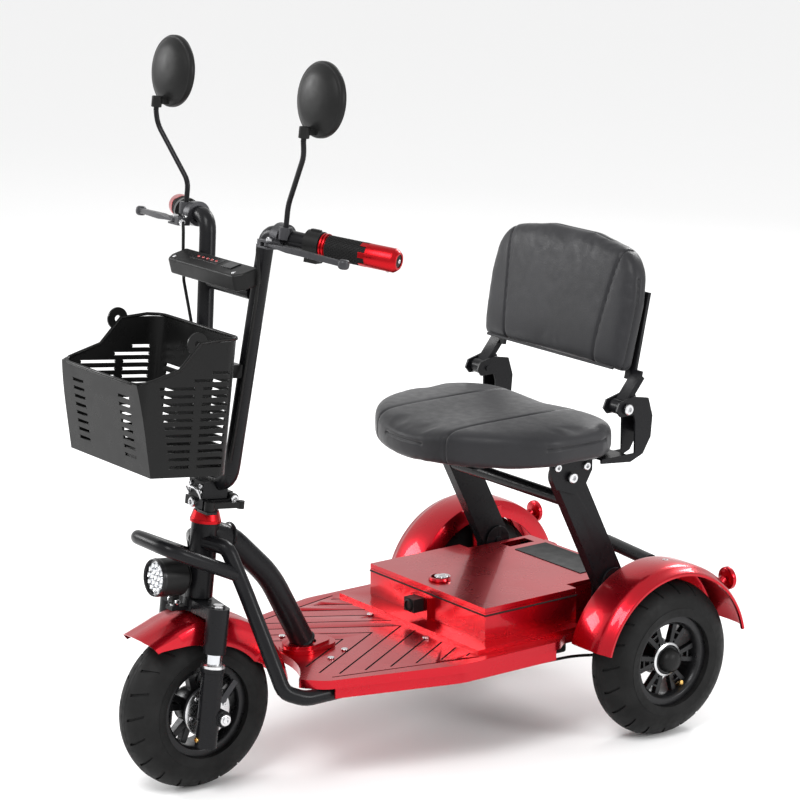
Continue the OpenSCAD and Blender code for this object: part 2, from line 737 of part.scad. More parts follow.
module battery_lid() {
    color([0.74, 0.05, 0.1]) from_axle() difference() {
        union() {
            translate([0, 0, lid_z + 0.4]) linear_extrude(lid_h - 0.4) box_outline(0);
            both() translate([hinge_x, lid_hinge[0], lid_hinge[1]]) {
                rod_x(5, 20);
                block([-10, 10], [box_rear - 1 - lid_hinge[0], 0], [0, 4.9]);
            }
        }
        translate([0, 0, lid_z - 1]) linear_extrude(lid_h - 2) box_outline(box_wall);
        both() translate([hinge_x, lid_hinge[0], lid_hinge[1]]) rod_x(lid_pin_r + running_clear, 40);
        translate([lock_x, lock_y, lid_z - 1]) cylinder(r = lock_r + running_clear, h = 20);
        block([-118, -92], [688, 740], [lid_top - 4, lid_top + 2]);
    }
}
lock_x = -14;
lock_y = 486;
lock_r = 9;
module key_lock() {
    color([0.75, 0.75, 0.77]) from_axle() translate([lock_x, lock_y, lid_z + 3]) difference() {
        union() {
            cylinder(r = lock_r, h = lid_h + 3);
            translate([0, 0, lid_h - 3 + gap]) cylinder(r = lock_r + 4, h = 5);
            block([-4, 4], [-24, 0], [-4, 0]);
        }
        block([-1, 1], [-5, 5], [lid_h - 2, lid_h + 10]);
    }
}
module label_plate() {
    color([0.05, 0.05, 0.05]) from_axle() block([-74, 96], [684, 750], [lid_top, lid_top + 1.2]);
}
module under_box() {
    color([0.07, 0.07, 0.07]) from_axle() block([-118, 118], [380, 640], [deck_bottom - 48, deck_bottom]);
}

// ---- rear axle, fenders and lamps ----
module rear_axle() {
    beam = rear_track_half + hub_in - 6;
    color([0.12, 0.12, 0.13]) from_axle() translate([0, wheelbase, tyre_r]) {
        rod_x(11.5, 2 * beam);
        rod_x(rear_axle_r, 2 * stub_end);
        both() translate([rail_x, 0, 0]) block([-9, 9], [-12, 12], [8, deck_bottom - tyre_r]);
    }
}
module fender(s) {
    color([0.74, 0.04, 0.09]) from_axle() translate([s * fender_x, wheelbase, tyre_r]) side(s) {
        fender_arc(fender_r, fender_half_w, 12, 2.5, 12, 165);
        block([-fender_half_w - 8, -fender_half_w - 3], [-30, 30], [deck_z - tyre_r, 150]);
        block([-fender_half_w - 24, -fender_half_w - 3], [-30, 30], [deck_z - tyre_r, deck_z - tyre_r + 4]);
        block([-fender_half_w - 4, -fender_half_w + 1], [-30, 30], [146, 151]);
    }
}
module rear_fender_left() { fender(1); }
module rear_fender_right() { fender(-1); }
module taillights() {
    rise = 38;
    color([0.7, 0.02, 0.04]) from_axle() for (s = [-1, 1])
        translate([s * fender_x, wheelbase, tyre_r]) rotate([rise, 0, 0])
            translate([0, fender_r + gap, 0]) {
                rotate([-90, 0, 0]) cylinder(r = 10, h = 14);
                rotate([-rise, 0, 0]) translate([0, 14, 8]) rotate([-90, 0, 0]) cylinder(r = 19, h = 12);
            }
}
module rear_bar() {
    path = [[24, 786, deck_z], [24, 786, 262], [fender_x - fender_half_w - 12, 752, 268]];
    color([0.09, 0.09, 0.09]) from_axle() swept(rounded(path, 26, 6), 11, 20);
}
module rear_brake_cable() {
    path = [[158, 340, deck_bottom - 3], [160, 400, deck_bottom - 26], [160, 500, deck_bottom - 34],
        [170, 610, 130], [180, 690, 120], [182, wheelbase, tyre_r - 16]];
    color([0.04, 0.04, 0.04]) from_axle() swept(rounded(path, 20, 4), 2.5, 8);
}

// ---- seat ----
module seat_feet() {
    half = post_t / 2 + 1;
    foot_y = [post_foot[0] - 23, post_foot[0] + 23];
    color([0.09, 0.09, 0.09]) from_axle() both() translate([post_x, 0, 0]) {
        for (s = [-1, 1]) {
            block([s * (half + 2) - 2, s * (half + 2) + 2], foot_y, [deck_z, post_foot[1]]);
            translate([s * (half + 2), post_foot[0], post_foot[1]]) rod_x(24, 4);
        }
        block([-half - 4, half + 4], foot_y, [deck_z, deck_z + 5]);
        translate([0, post_foot[0], post_foot[1]]) rod_x(post_pin_r, 2 * half + 14);
    }
}
post_l = norm(post_head - post_foot);
module on_post() { translate([0, post_foot[0], post_foot[1]]) rotate([post_lean, 0, 0]) children(); }
module seat_posts() {
    color([0.08, 0.08, 0.08]) from_axle() {
        both() translate([post_x, 0, 0]) {
            difference() {
                on_post() union() {
                    block([-post_t / 2, post_t / 2], [-post_w / 2, post_w / 2], [0, post_l]);
                    rod_x(post_w / 2, post_t);
                    translate([0, 0, post_l]) rod_x(post_w / 2, post_t);
                }
                on_post() rod_x(post_pin_r + running_clear, 60);
            }
            on_post() translate([0, 0, post_l]) rod_x(post_pin_r, post_t + 18);
        }
        on_post() translate([0, -post_w / 2 + 12, post_l - 40]) rod_x(11, 2 * (post_x - post_t / 2 + 2));
    }
}
plate_x = post_x + post_t / 2 + 1;
pan_t = 3;
module seat_frame() {
    pan = [seat_z - pan_t, seat_z - eps];
    color([0.08, 0.08, 0.08]) from_axle() {
        difference() {
            union() {
                both() {
                    translate([plate_x, 0, 0]) rotate([90, 0, 90]) linear_extrude(4) polygon([[562, pan[1]],
                        [648, pan[1]], [648, 432], [634, 408], [612, 396], [574, 410], [562, 436]]);
                    block([post_x - 30, plate_x + 4], [556, 656], pan);
                    block([post_x - 30, bracket_x + 20], [640, 692], pan);
                }
                block([-post_x + 28, post_x - 28], [440, 690], pan);
            }
            translate([0, post_head[0], post_head[1]]) rod_x(post_pin_r + running_clear, 400);
        }
        both() hinge_bracket();
    }
}
// The bracket rises behind the seat's corner and takes the backrest's bolt.
bracket_x = 178;
bracket_gap = 14;
back_pin_r = 4;
module hinge_bracket() {
    for (s = [0, 1]) translate([bracket_x - bracket_gap - 4 + s * (2 * bracket_gap + 4), 0, 0])
        rotate([90, 0, 90]) linear_extrude(4) polygon([[640, 448], [700, 442], [726, 452], [742, 478],
            [745, 512], [736, 542], [704, 548], [676, 541], [670, 528], [678, 518], [706, 518], [709, 506],
            [709, seat_z - 1], [640, seat_z - 1]]);
    block([bracket_x - bracket_gap - 1, bracket_x + bracket_gap + 1], [738, 744], [478, 514]);
    translate([bracket_x, hinge_y, hinge_z]) rod_x(back_pin_r, 2 * bracket_gap + 14);
}
module seat_cushion() {
    color([0.2, 0.2, 0.21]) from_axle() translate([0, 0, seat_z]) linear_extrude(seat_t) hull() {
        intersection() {
            translate([0, seat_front + 212]) circle(r = 212);
            translate([-seat_half_w, seat_front]) square([2 * seat_half_w, 250]);
        }
        for (s = [-1, 1]) translate([s * (seat_half_w - seat_corner_r), seat_rear - seat_corner_r])
            circle(r = seat_corner_r);
    }
}
module on_back() { translate([0, back_foot[0], back_foot[1]]) rotate([-back_lean, 0, 0]) children(); }
module backrest_frame() {
    arm_x = bracket_gap - 2;
    stay_y = [back_t / 2 + gap, back_t / 2 + 6];
    rise = back_foot + [26, -8] - [hinge_y, hinge_z];
    color([0.08, 0.08, 0.08]) from_axle() both() difference() {
        union() {
            translate([bracket_x, hinge_y, hinge_z]) {
                rod_x(12, 2 * arm_x);
                rotate([-atan2(rise[0], rise[1]), 0, 0]) block([-arm_x, arm_x], [-5, 5], [0, norm(rise)]);
            }
            on_back() {
                block([bracket_x - 24, bracket_x + arm_x - 14], stay_y, [-12, 130]);
                block([bracket_x - arm_x, bracket_x + arm_x], stay_y, [-12, 6]);
            }
        }
        translate([bracket_x, hinge_y, hinge_z]) rod_x(back_pin_r + running_clear, 60);
    }
}
module backrest_cushion() {
    color([0.2, 0.2, 0.21]) from_axle() on_back() translate([0, back_t / 2, 0]) rotate([90, 0, 0])
        linear_extrude(back_t) hull() for (s = [-1, 1]) {
            translate([s * (back_half_w - 16), 12]) circle(r = 12);
            translate([s * (back_half_w - 60), 110]) circle(r = 60);
            translate([s * (back_half_w - 66), back_h - 66 - 8]) circle(r = 62);
            translate([s * 50, back_h - 60]) circle(r = 60);
        }
}

head_tube();
headset_cup();
backbone();
down_tube_left();
down_tube_right();
crash_hoop();
deck_plate();
deck_socket();
deck_screws();
battery_cover();
battery_pack();
under_box();
charge_port();
rear_axle();
seat_feet();
rear_fender_left();
rear_fender_right();
taillights();
rear_bar();
rear_brake_cable();
battery_lid();
label_plate();
key_lock();
steerer();
fork_crown();
fork_stanchions();
front_fender();
headlight_body();
headlight_lens();
fork_sliders();
front_axle();
front_brake();
front_tyre();
front_rim();
rear_tyre_left();
rear_rim_left();
rear_tyre_right();
rear_rim_right();
handlebar();
bar_tubes();
fold_block();
control_panel();
grip_left();
control_housings();
lever_perches();
basket();
brake_cables();
fold_lever();
brake_lever_left();
brake_lever_right();
throttle_grip();
switch_slider();
mirror_stems();
mirror_left();
mirror_right();
seat_posts();
seat_frame();
seat_cushion();
backrest_frame();
backrest_cushion();
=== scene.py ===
"""Looks of a three-wheeled mobility scooter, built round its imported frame. Metres, +Z up, front to -Y."""
import json
import math

import bmesh
import bpy
from mathutils import Matrix, Vector

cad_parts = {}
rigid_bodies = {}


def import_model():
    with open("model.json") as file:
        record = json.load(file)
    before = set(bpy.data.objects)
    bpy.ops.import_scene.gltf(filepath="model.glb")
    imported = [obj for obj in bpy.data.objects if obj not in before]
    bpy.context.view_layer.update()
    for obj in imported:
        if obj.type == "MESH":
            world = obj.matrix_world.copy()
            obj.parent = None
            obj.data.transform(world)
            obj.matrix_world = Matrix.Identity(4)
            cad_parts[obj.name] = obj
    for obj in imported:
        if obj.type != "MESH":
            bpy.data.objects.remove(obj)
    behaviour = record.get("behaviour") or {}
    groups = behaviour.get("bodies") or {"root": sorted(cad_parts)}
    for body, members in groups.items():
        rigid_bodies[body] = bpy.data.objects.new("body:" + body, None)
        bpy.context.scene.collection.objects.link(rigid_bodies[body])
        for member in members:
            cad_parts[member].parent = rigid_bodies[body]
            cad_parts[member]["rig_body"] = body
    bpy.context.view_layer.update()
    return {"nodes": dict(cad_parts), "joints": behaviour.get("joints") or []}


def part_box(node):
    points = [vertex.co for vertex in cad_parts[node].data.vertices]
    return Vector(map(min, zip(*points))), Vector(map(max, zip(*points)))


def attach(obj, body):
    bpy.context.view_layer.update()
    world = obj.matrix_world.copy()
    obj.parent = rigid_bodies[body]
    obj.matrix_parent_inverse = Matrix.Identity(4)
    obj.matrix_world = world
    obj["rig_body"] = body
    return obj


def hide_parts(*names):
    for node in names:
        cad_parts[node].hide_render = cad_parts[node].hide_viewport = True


bl_info = {
    "name": "Mobility scooter",
    "version": (1, 0, 0),
    "blender": (4, 5, 0),
    "location": "View3D > Sidebar > Scooter",
    "description": "Builds the finished surfaces of a three-wheeled mobility scooter round its frame",
    "category": "Add Mesh",
}

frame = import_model()

MM = 0.001
JOINTS = {j["name"]: j for j in frame["joints"]}


def middle(node):
    low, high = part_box(node)
    return (low + high) / 2


def height(node, axis):
    low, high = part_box(node)
    return high[axis] - low[axis]


def body_of(node):
    return frame["nodes"][node]["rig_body"]


def mm(*points):
    """Points given in millimetres."""
    return [tuple(c * MM for c in point) for point in points]


# The steered frame: u across, v back, w up the fork, from the front axle.
AXLE = middle("front_tyre")
TYRE_R = height("front_tyre", 2) / 2
STEER_AXIS = Vector(JOINTS["steering"]["axis"])
RAKE = math.atan2(STEER_AXIS.y, STEER_AXIS.z)
STEERED = Matrix.Translation(AXLE) @ Matrix.Rotation(-RAKE, 4, "X")
DECK_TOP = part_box("deck_plate")[1].z
LID_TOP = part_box("battery_lid")[1].z


def steered(u, v, w):
    return STEERED @ Vector((u, v, w))


# ---- settings ----
class ScooterSizes(bpy.types.PropertyGroup):
    edge_round: bpy.props.FloatProperty(name="Edge round", description="Round on every metal edge",
        default=0.9 * MM, min=0.0, unit="LENGTH")
    tread_depth: bpy.props.FloatProperty(name="Tread depth", description="Depth of the tyres' cuts",
        default=3.0 * MM, min=0.0, unit="LENGTH")
    groove_depth: bpy.props.FloatProperty(name="Groove depth", description="Depth of the deck's grooves",
        default=1.6 * MM, min=0.0, unit="LENGTH")
    seam_depth: bpy.props.FloatProperty(name="Seam depth", description="Depth of the seat's seams",
        default=3.2 * MM, min=0.0, unit="LENGTH")
    slot_rows: bpy.props.IntProperty(name="Slot rows", description="Rows of slots in the basket's sides",
        default=13, min=4)


class ScooterColours(bpy.types.PropertyGroup):
    paint: bpy.props.FloatVectorProperty(name="Paint", description="Candy paint of the panels",
        subtype="COLOR", size=4, default=(0.44, 0.003, 0.012, 1.0))
    coat: bpy.props.FloatVectorProperty(name="Coat", description="Powder coat of the tubes",
        subtype="COLOR", size=4, default=(0.007, 0.007, 0.008, 1.0))
    leather: bpy.props.FloatVectorProperty(name="Leather", description="Leather of seat and backrest",
        subtype="COLOR", size=4, default=(0.020, 0.020, 0.022, 1.0))
    rubber: bpy.props.FloatVectorProperty(name="Rubber", description="Rubber of tyres and grips",
        subtype="COLOR", size=4, default=(0.007, 0.007, 0.007, 1.0))


# ---- materials ----
class Surface:
    """A material with one Principled shader, and short ways to add nodes to it."""

    def __init__(self, name, colour, roughness, metallic=0.0, coat=0.0, coat_roughness=0.05):
        self.name = name
        self.material = bpy.data.materials.new("scooter_" + name)
        self.material.use_nodes = True
        self.nodes = self.material.node_tree.nodes
        self.links = self.material.node_tree.links
        self.shader = self.nodes["Principled BSDF"]
        self.shader.inputs["Base Color"].default_value = tuple(colour)
        self.shader.inputs["Roughness"].default_value = roughness
        self.shader.inputs["Metallic"].default_value = metallic
        self.shader.inputs["Coat Weight"].default_value = coat
        self.shader.inputs["Coat Roughness"].default_value = coat_roughness
        self.place = self.nodes.new("ShaderNodeTexCoord").outputs["Object"]

    def noise(self, scale, detail=4.0, stretch=None):
        node = self.nodes.new("ShaderNodeTexNoise")
        node.inputs["Scale"].default_value = scale
        node.inputs["Detail"].default_value = detail
        self.links.new(self.stretched(stretch), node.inputs["Vector"])
        return node.outputs["Fac"]

    def cells(self, scale, feature="F1"):
        node = self.nodes.new("ShaderNodeTexVoronoi")
        node.feature = feature
        node.inputs["Scale"].default_value = scale
        self.links.new(self.place, node.inputs["Vector"])
        return node.outputs["Distance"]

    def stretched(self, stretch):
        if stretch is None:
            return self.place
        node = self.nodes.new("ShaderNodeMapping")
        node.inputs["Scale"].default_value = stretch
        self.links.new(self.place, node.inputs["Vector"])
        return node.outputs["Vector"]

    def span(self, value, low, high, start=0.3, end=0.7):
        node = self.nodes.new("ShaderNodeMapRange")
        node.inputs["From Min"].default_value = start
        node.inputs["From Max"].default_value = end
        node.inputs["To Min"].default_value = low
        node.inputs["To Max"].default_value = high
        self.links.new(value, node.inputs["Value"])
        return node.outputs["Result"]

    def rough(self, value, low, high):
        self.links.new(self.span(value, low, high), self.shader.inputs["Roughness"])
        return self

    def tint(self, value, dark, light, start=0.3, end=0.7):
        node = self.nodes.new("ShaderNodeValToRGB")
        node.color_ramp.elements[0].position = start
        node.color_ramp.elements[1].position = end
        node.color_ramp.elements[0].color = tuple(dark)
        node.color_ramp.elements[1].color = tuple(light)
        self.links.new(value, node.inputs["Fac"])
        self.links.new(node.outputs["Color"], self.shader.inputs["Base Color"])
        return self

    def bump(self, value, distance, strength=1.0, target="Normal"):
        node = self.nodes.new("ShaderNodeBump")
        node.inputs["Distance"].default_value = distance
        node.inputs["Strength"].default_value = strength
        self.links.new(value, node.inputs["Height"])
        before = self.shader.inputs[target].links
        if before:
            self.links.new(before[0].from_socket, node.inputs["Normal"])
        self.links.new(node.outputs["Normal"], self.shader.inputs[target])
        return self


def shade(colour, share):
    return (colour[0] * share, colour[1] * share, colour[2] * share, 1.0)


MATERIALS = {}


def make_materials(colours):
    red, coat, hide, rubber = colours.paint, colours.coat, colours.leather, colours.rubber
    paint = Surface("candy_paint", red, 0.26, metallic=0.9, coat=0.3, coat_roughness=0.05)
    paint.tint(paint.noise(5.0, 2.0), shade(red, 0.93), shade(red, 1.07))
    paint.rough(paint.noise(18.0), 0.25, 0.3)
    anodised = Surface("red_anodised", (0.42, 0.010, 0.014, 1.0), 0.3, metallic=1.0)
    anodised.rough(anodised.noise(600.0, 3.0), 0.25, 0.38)
    tubes = Surface("black_coat", coat, 0.3)
    tubes.rough(tubes.noise(60.0), 0.24, 0.34)
    tubes.bump(tubes.noise(1400.0, 3.0), 0.00008, 0.5)
    plastic = Surface("black_plastic", (0.010, 0.010, 0.010, 1.0), 0.38)
    plastic.rough(plastic.noise(50.0), 0.32, 0.46)
    plastic.bump(plastic.cells(1500.0), 0.00007, 0.5)
    basket = Surface("basket_plastic", (0.006, 0.006, 0.006, 1.0), 0.3)
    basket.rough(basket.noise(40.0), 0.24, 0.36)
    basket.bump(basket.noise(900.0, 3.0), 0.00006, 0.4)
    alloy = Surface("black_alloy", (0.010, 0.010, 0.011, 1.0), 0.3, metallic=0.5)
    alloy.rough(alloy.noise(80.0), 0.24, 0.38)
    casting = Surface("grey_casting", (0.04, 0.04, 0.044, 1.0), 0.38, metallic=0.6)
    casting.rough(casting.noise(90.0), 0.32, 0.46)
    casting.bump(casting.noise(1200.0, 3.0), 0.00009, 0.5)
    steel = Surface("bright_steel", (0.62, 0.62, 0.63, 1.0), 0.24, metallic=1.0)
    steel.rough(steel.noise(300.0, 4.0, (1.0, 1.0, 8.0)), 0.18, 0.34)
    chrome = Surface("hard_chrome", (0.55, 0.56, 0.58, 1.0), 0.12, metallic=1.0)
    chrome.rough(chrome.noise(40.0, 3.0, (6.0, 6.0, 1.0)), 0.09, 0.18)
    tyre = Surface("tyre_rubber", rubber, 0.55)
    tyre.tint(tyre.noise(25.0), shade(rubber, 0.7), shade(rubber, 1.5))
    tyre.rough(tyre.noise(120.0), 0.46, 0.66)
    tyre.bump(tyre.noise(1500.0, 3.0), 0.0001, 0.5)
    grip = Surface("grip_rubber", shade(rubber, 1.2), 0.6)
    grip.rough(grip.noise(200.0), 0.5, 0.7)
    grip.bump(grip.cells(900.0), 0.0002, 0.6)
    leather = Surface("leather", hide, 0.42)
    leather.shader.inputs["Sheen Weight"].default_value = 0.08
    leather.tint(leather.noise(9.0), shade(hide, 0.82), shade(hide, 1.2))
    leather.rough(leather.noise(70.0, 5.0), 0.36, 0.5)
    leather.bump(leather.noise(60.0, 3.0), 0.0006, 0.25)
    leather.bump(leather.cells(750.0, "SMOOTH_F1"), 0.00022, 0.55)
    cable = Surface("cable_sleeve", (0.008, 0.008, 0.008, 1.0), 0.4)
    cable.rough(cable.noise(150.0), 0.34, 0.48)
    lens = Surface("clear_lens", (0.95, 0.96, 1.0, 1.0), 0.05)
    lens.shader.inputs["Transmission Weight"].default_value = 0.85
    lens.shader.inputs["IOR"].default_value = 1.45
    lens.rough(lens.noise(60.0), 0.03, 0.07)
    led = Surface("led_dome", (0.82, 0.83, 0.84, 1.0), 0.12, coat=1.0)
    led.rough(led.noise(200.0), 0.08, 0.16)
    red_lens = Surface("red_lens", (0.32, 0.002, 0.003, 1.0), 0.12, coat=0.8)
    red_lens.bump(red_lens.cells(260.0), 0.0005, 0.5)
    red_lens.rough(red_lens.noise(90.0), 0.1, 0.2)
    glass = Surface("mirror_glass", (0.82, 0.83, 0.85, 1.0), 0.03, metallic=1.0)
    glass.rough(glass.noise(20.0), 0.02, 0.04)
    brass = Surface("brass", (0.62, 0.38, 0.12, 1.0), 0.28, metallic=1.0)
    brass.rough(brass.noise(300.0), 0.22, 0.36)
    for part, level in ((tubes, 0.14), (plastic, 0.12), (basket, 0.14), (tyre, 0.12), (grip, 0.14),
                        (leather, 0.16), (cable, 0.14)):
        part.shader.inputs["Specular IOR Level"].default_value = level
    for part in (paint, anodised, tubes, plastic, basket, alloy, casting, steel, chrome, tyre, grip,
                 leather, cable, lens, led, red_lens, glass, brass):
        MATERIALS[part.name] = part.material


# ---- ways to finish a mesh ----
SMOOTH_ANGLE = math.radians(38)


def piece(name, bm, material, body, slot, replaces=()):
    """A finished object from a bmesh, riding on a body."""
    mesh = bpy.data.meshes.new(name)
    bm.to_mesh(mesh)
    bm.free()
    mesh.materials.append(MATERIALS[material])
    mesh.shade_smooth()
    mesh.set_sharp_from_angle(angle=SMOOTH_ANGLE)
    obj = bpy.data.objects.new(name, mesh)
    bpy.context.scene.collection.objects.link(obj)
    return settle(obj, body, slot, replaces)


def settle(obj, body, slot, replaces=()):
    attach(obj, body)
    if replaces:
        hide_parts(*replaces)
    return obj


def soften(obj, width, segments=2, angle=32.0):
    bevel = obj.modifiers.new("edges", "BEVEL")
    bevel.width = width
    bevel.segments = segments
    bevel.limit_method = "ANGLE"
    bevel.angle_limit = math.radians(angle)
    bevel.use_clamp_overlap = True
    bevel.harden_normals = True
    return obj


def node_mesh(node):
    """A copy of a CAD node's mesh, with flat faces whole again."""
    bm = bmesh.new()
    bm.from_mesh(frame["nodes"][node].data)
    bmesh.ops.remove_doubles(bm, verts=bm.verts, dist=0.00002)
    bmesh.ops.dissolve_limit(bm, angle_limit=math.radians(0.4), verts=bm.verts, edges=bm.edges)
    return bm


def dress(node, material, slot, edge=None):
    """Stands for a CAD node with a smooth copy that has rounded edges."""
    body = body_of(node)
    obj = piece(node + "_finish", node_mesh(node), material, body, slot, [node])
    width = bpy.context.scene.scooter_sizes.edge_round if edge is None else edge
    if width > 0:
        soften(obj, width)
    return obj


def spun(bm, profile, axis, steps=64):
    """Spins a line of points right round an axis through the origin."""
    verts = [bm.verts.new(p) for p in profile]
    edges = [bm.edges.new((a, b)) for a, b in zip(verts, verts[1:])]
    bmesh.ops.spin(bm, geom=verts + edges, cent=(0, 0, 0), axis=axis, angle=2 * math.pi, steps=steps,
                   use_merge=True, use_duplicate=False)


def along(origin, direction):
    """A matrix whose z axis runs along a direction from an origin."""
    turn = Vector(direction).to_track_quat("Z", "Y").to_matrix().to_4x4()
    return Matrix.Translation(origin) @ turn


def turned(bm, points, place, steps=32):
    """Adds a turned shape: points are (radius, height) along the place's z axis, from pole to pole."""
    part = bmesh.new()
    spun(part, [(r, 0, z) for r, z in points], (0, 0, 1), steps=steps)
    bmesh.ops.remove_doubles(part, verts=part.verts, dist=1e-6)
    bmesh.ops.transform(part, matrix=place, verts=part.verts)
    mesh = bpy.data.meshes.new("turned")
    part.to_mesh(mesh)
    part.free()
    bm.from_mesh(mesh)
    bpy.data.meshes.remove(mesh)


def faced_out(bm):
    bmesh.ops.remove_doubles(bm, verts=bm.verts, dist=1e-6)
    bmesh.ops.recalc_face_normals(bm, faces=bm.faces)


def closed(name, bm, material, body, slot, replaces=()):
    """A piece whose faces are turned outward first."""
    faced_out(bm)
    return piece(name, bm, material, body, slot, replaces)


def block(bm, low, high, place=Matrix.Identity(4)):
    """Adds a box between two corners and returns its vertices."""
    low, high = Vector(low), Vector(high)
    size = Matrix.Diagonal((*(high - low), 1.0))
    made = bmesh.ops.create_cube(bm, size=1.0,
                                 matrix=place @ Matrix.Translation((low + high) / 2) @ size)
    return made["verts"]


def cap_bolt(bm, at, direction, radius, tall):
    """A socket head cap screw with a round recess in its head."""
    place = along(at, direction)
    soft = radius * 0.14
    inner = radius * 0.5
    rim = [(0, 0), (radius, 0), (radius, tall - soft), (radius - soft, tall), (inner, tall),
           (inner, tall * 0.35), (0, tall * 0.35)]
    turned(bm, rim, place, 24)


def mirrored_point(p):
    return Vector((-p[0], p[1], p[2]))


# ---- wheels ----
TREAD_STEPS = 180
TREAD_PITCH = 9
REAR_WHEEL_X = 0.246
VALVE_ANGLE = 2.6


def tyre_profile(width, bead):
    """Half of a tyre's section from the bead to the crown, as (x, r) points."""
    bulge = width / 2
    crown = TYRE_R - bulge
    reach = math.asin((bead - crown) / bulge)
    section = []
    steps = 16
    for k in range(steps + 1):
        a = reach + (math.pi / 2 - reach) * k / steps
        x, r = bulge * math.cos(a), crown + bulge * math.sin(a)
        if k == 3:
            section.append((x + 0.6 * MM, r))
        section.append((x, r))
    return section


def tread_lean(x, bulge):
    """How far round the wheel a cut has swept at a distance from the middle."""
    share = abs(x) / bulge
    return 0.13 * share * share + 0.02 * share


def build_tyre(node, rim_node, sizes):
    centre = middle(node)
    bulge = height(node, 0) / 2
    bead = height(rim_node, 2) / 2 + 0.4 * MM
    half = tyre_profile(2 * bulge, bead)
    section = half + [(-x, r) for x, r in reversed(half[:-1])]
    inner = [(-half[0][0] + 4 * MM, bead), (half[0][0] - 4 * MM, bead)]
    bm = bmesh.new()
    profile = []
    for x, r in section + inner + [section[0]]:
        lean = tread_lean(x, bulge)
        profile.append((x, r * math.sin(lean), r * math.cos(lean)))
    spun(bm, profile, (1, 0, 0), steps=TREAD_STEPS)
    faced_out(bm)
    bm.faces.ensure_lookup_table()
    step = 2 * math.pi / TREAD_STEPS
    cuts = []
    for face in bm.faces:
        c = face.calc_center_median()
        r = math.hypot(c.y, c.z)
        share = abs(c.x) / bulge
        if r < TYRE_R - bulge * 0.42:
            continue
        column = int(round((math.atan2(c.y, c.z) - tread_lean(c.x, bulge)) / step - 0.5))
        side_shift = 0 if c.x > 0 else TREAD_PITCH // 2
        if 0.2 < share < 0.86 and (column + side_shift) % TREAD_PITCH == 0:
            cuts.append(face)
    sunk = bmesh.ops.extrude_face_region(bm, geom=cuts)
    moved = [v for v in sunk["geom"] if isinstance(v, bmesh.types.BMVert)]
    bmesh.ops.delete(bm, geom=cuts, context="FACES")
    for v in moved:
        r = math.hypot(v.co.y, v.co.z)
        v.co.y *= (r - sizes.tread_depth) / r
        v.co.z *= (r - sizes.tread_depth) / r
    for x in (-0.09, 0.09):
        ring = [(x * bulge - 1.6 * MM, 0, TYRE_R - 2.5 * MM), (x * bulge, 0, TYRE_R + 0.1 * MM),
                (x * bulge + 1.6 * MM, 0, TYRE_R - 2.5 * MM)]
        spun(bm, ring + [ring[0]], (1, 0, 0), steps=96)
    faced_out(bm)
    bmesh.ops.translate(bm, vec=centre, verts=bm.verts)
    body = body_of(node)
    return piece(node + "_finish", bm, "tyre_rubber", body, "tyre_rubber", [node])


def rim_barrel(bm, half_w, outer, drop):
    """The spun barrel of a rim with its two lips."""
    lip = 5 * MM
    section = [(-half_w, outer - 9 * MM), (-half_w, outer + 1.5 * MM),
               (-half_w + lip * 0.5, outer + 2.5 * MM), (-half_w + lip, outer), (half_w - lip, outer),
               (half_w - lip * 0.5, outer + 2.5 * MM), (half_w, outer + 1.5 * MM), (half_w, outer - 9 * MM),
               (half_w - 2 * MM, outer - 11 * MM), (half_w - 9 * MM, outer - drop),
               (-half_w + 9 * MM, outer - drop), (-half_w + 2 * MM, outer - 11 * MM),
               (-half_w, outer - 9 * MM)]
    spun(bm, [(x, 0, r) for x, r in section], (1, 0, 0), steps=96)


def spoke(bm, angle, inner, outer, x, widths, depth, lean):
    """One tapered spoke of a rim; it leans off the radius by an angle."""
    verts = block(bm, (-0.5, -0.5, 0), (0.5, 0.5, 1))
    for v in verts:
        far = v.co.z > 0.5
        wide = widths[1] if far else widths[0]
        v.co = Vector((x + v.co.x * (depth * (0.8 if far else 1.0)),
                       v.co.y * wide + (lean if far else lean * 0.25), outer if far else inner))
    bmesh.ops.rotate(bm, cent=(0, 0, 0), matrix=Matrix.Rotation(angle, 3, "X"), verts=verts)


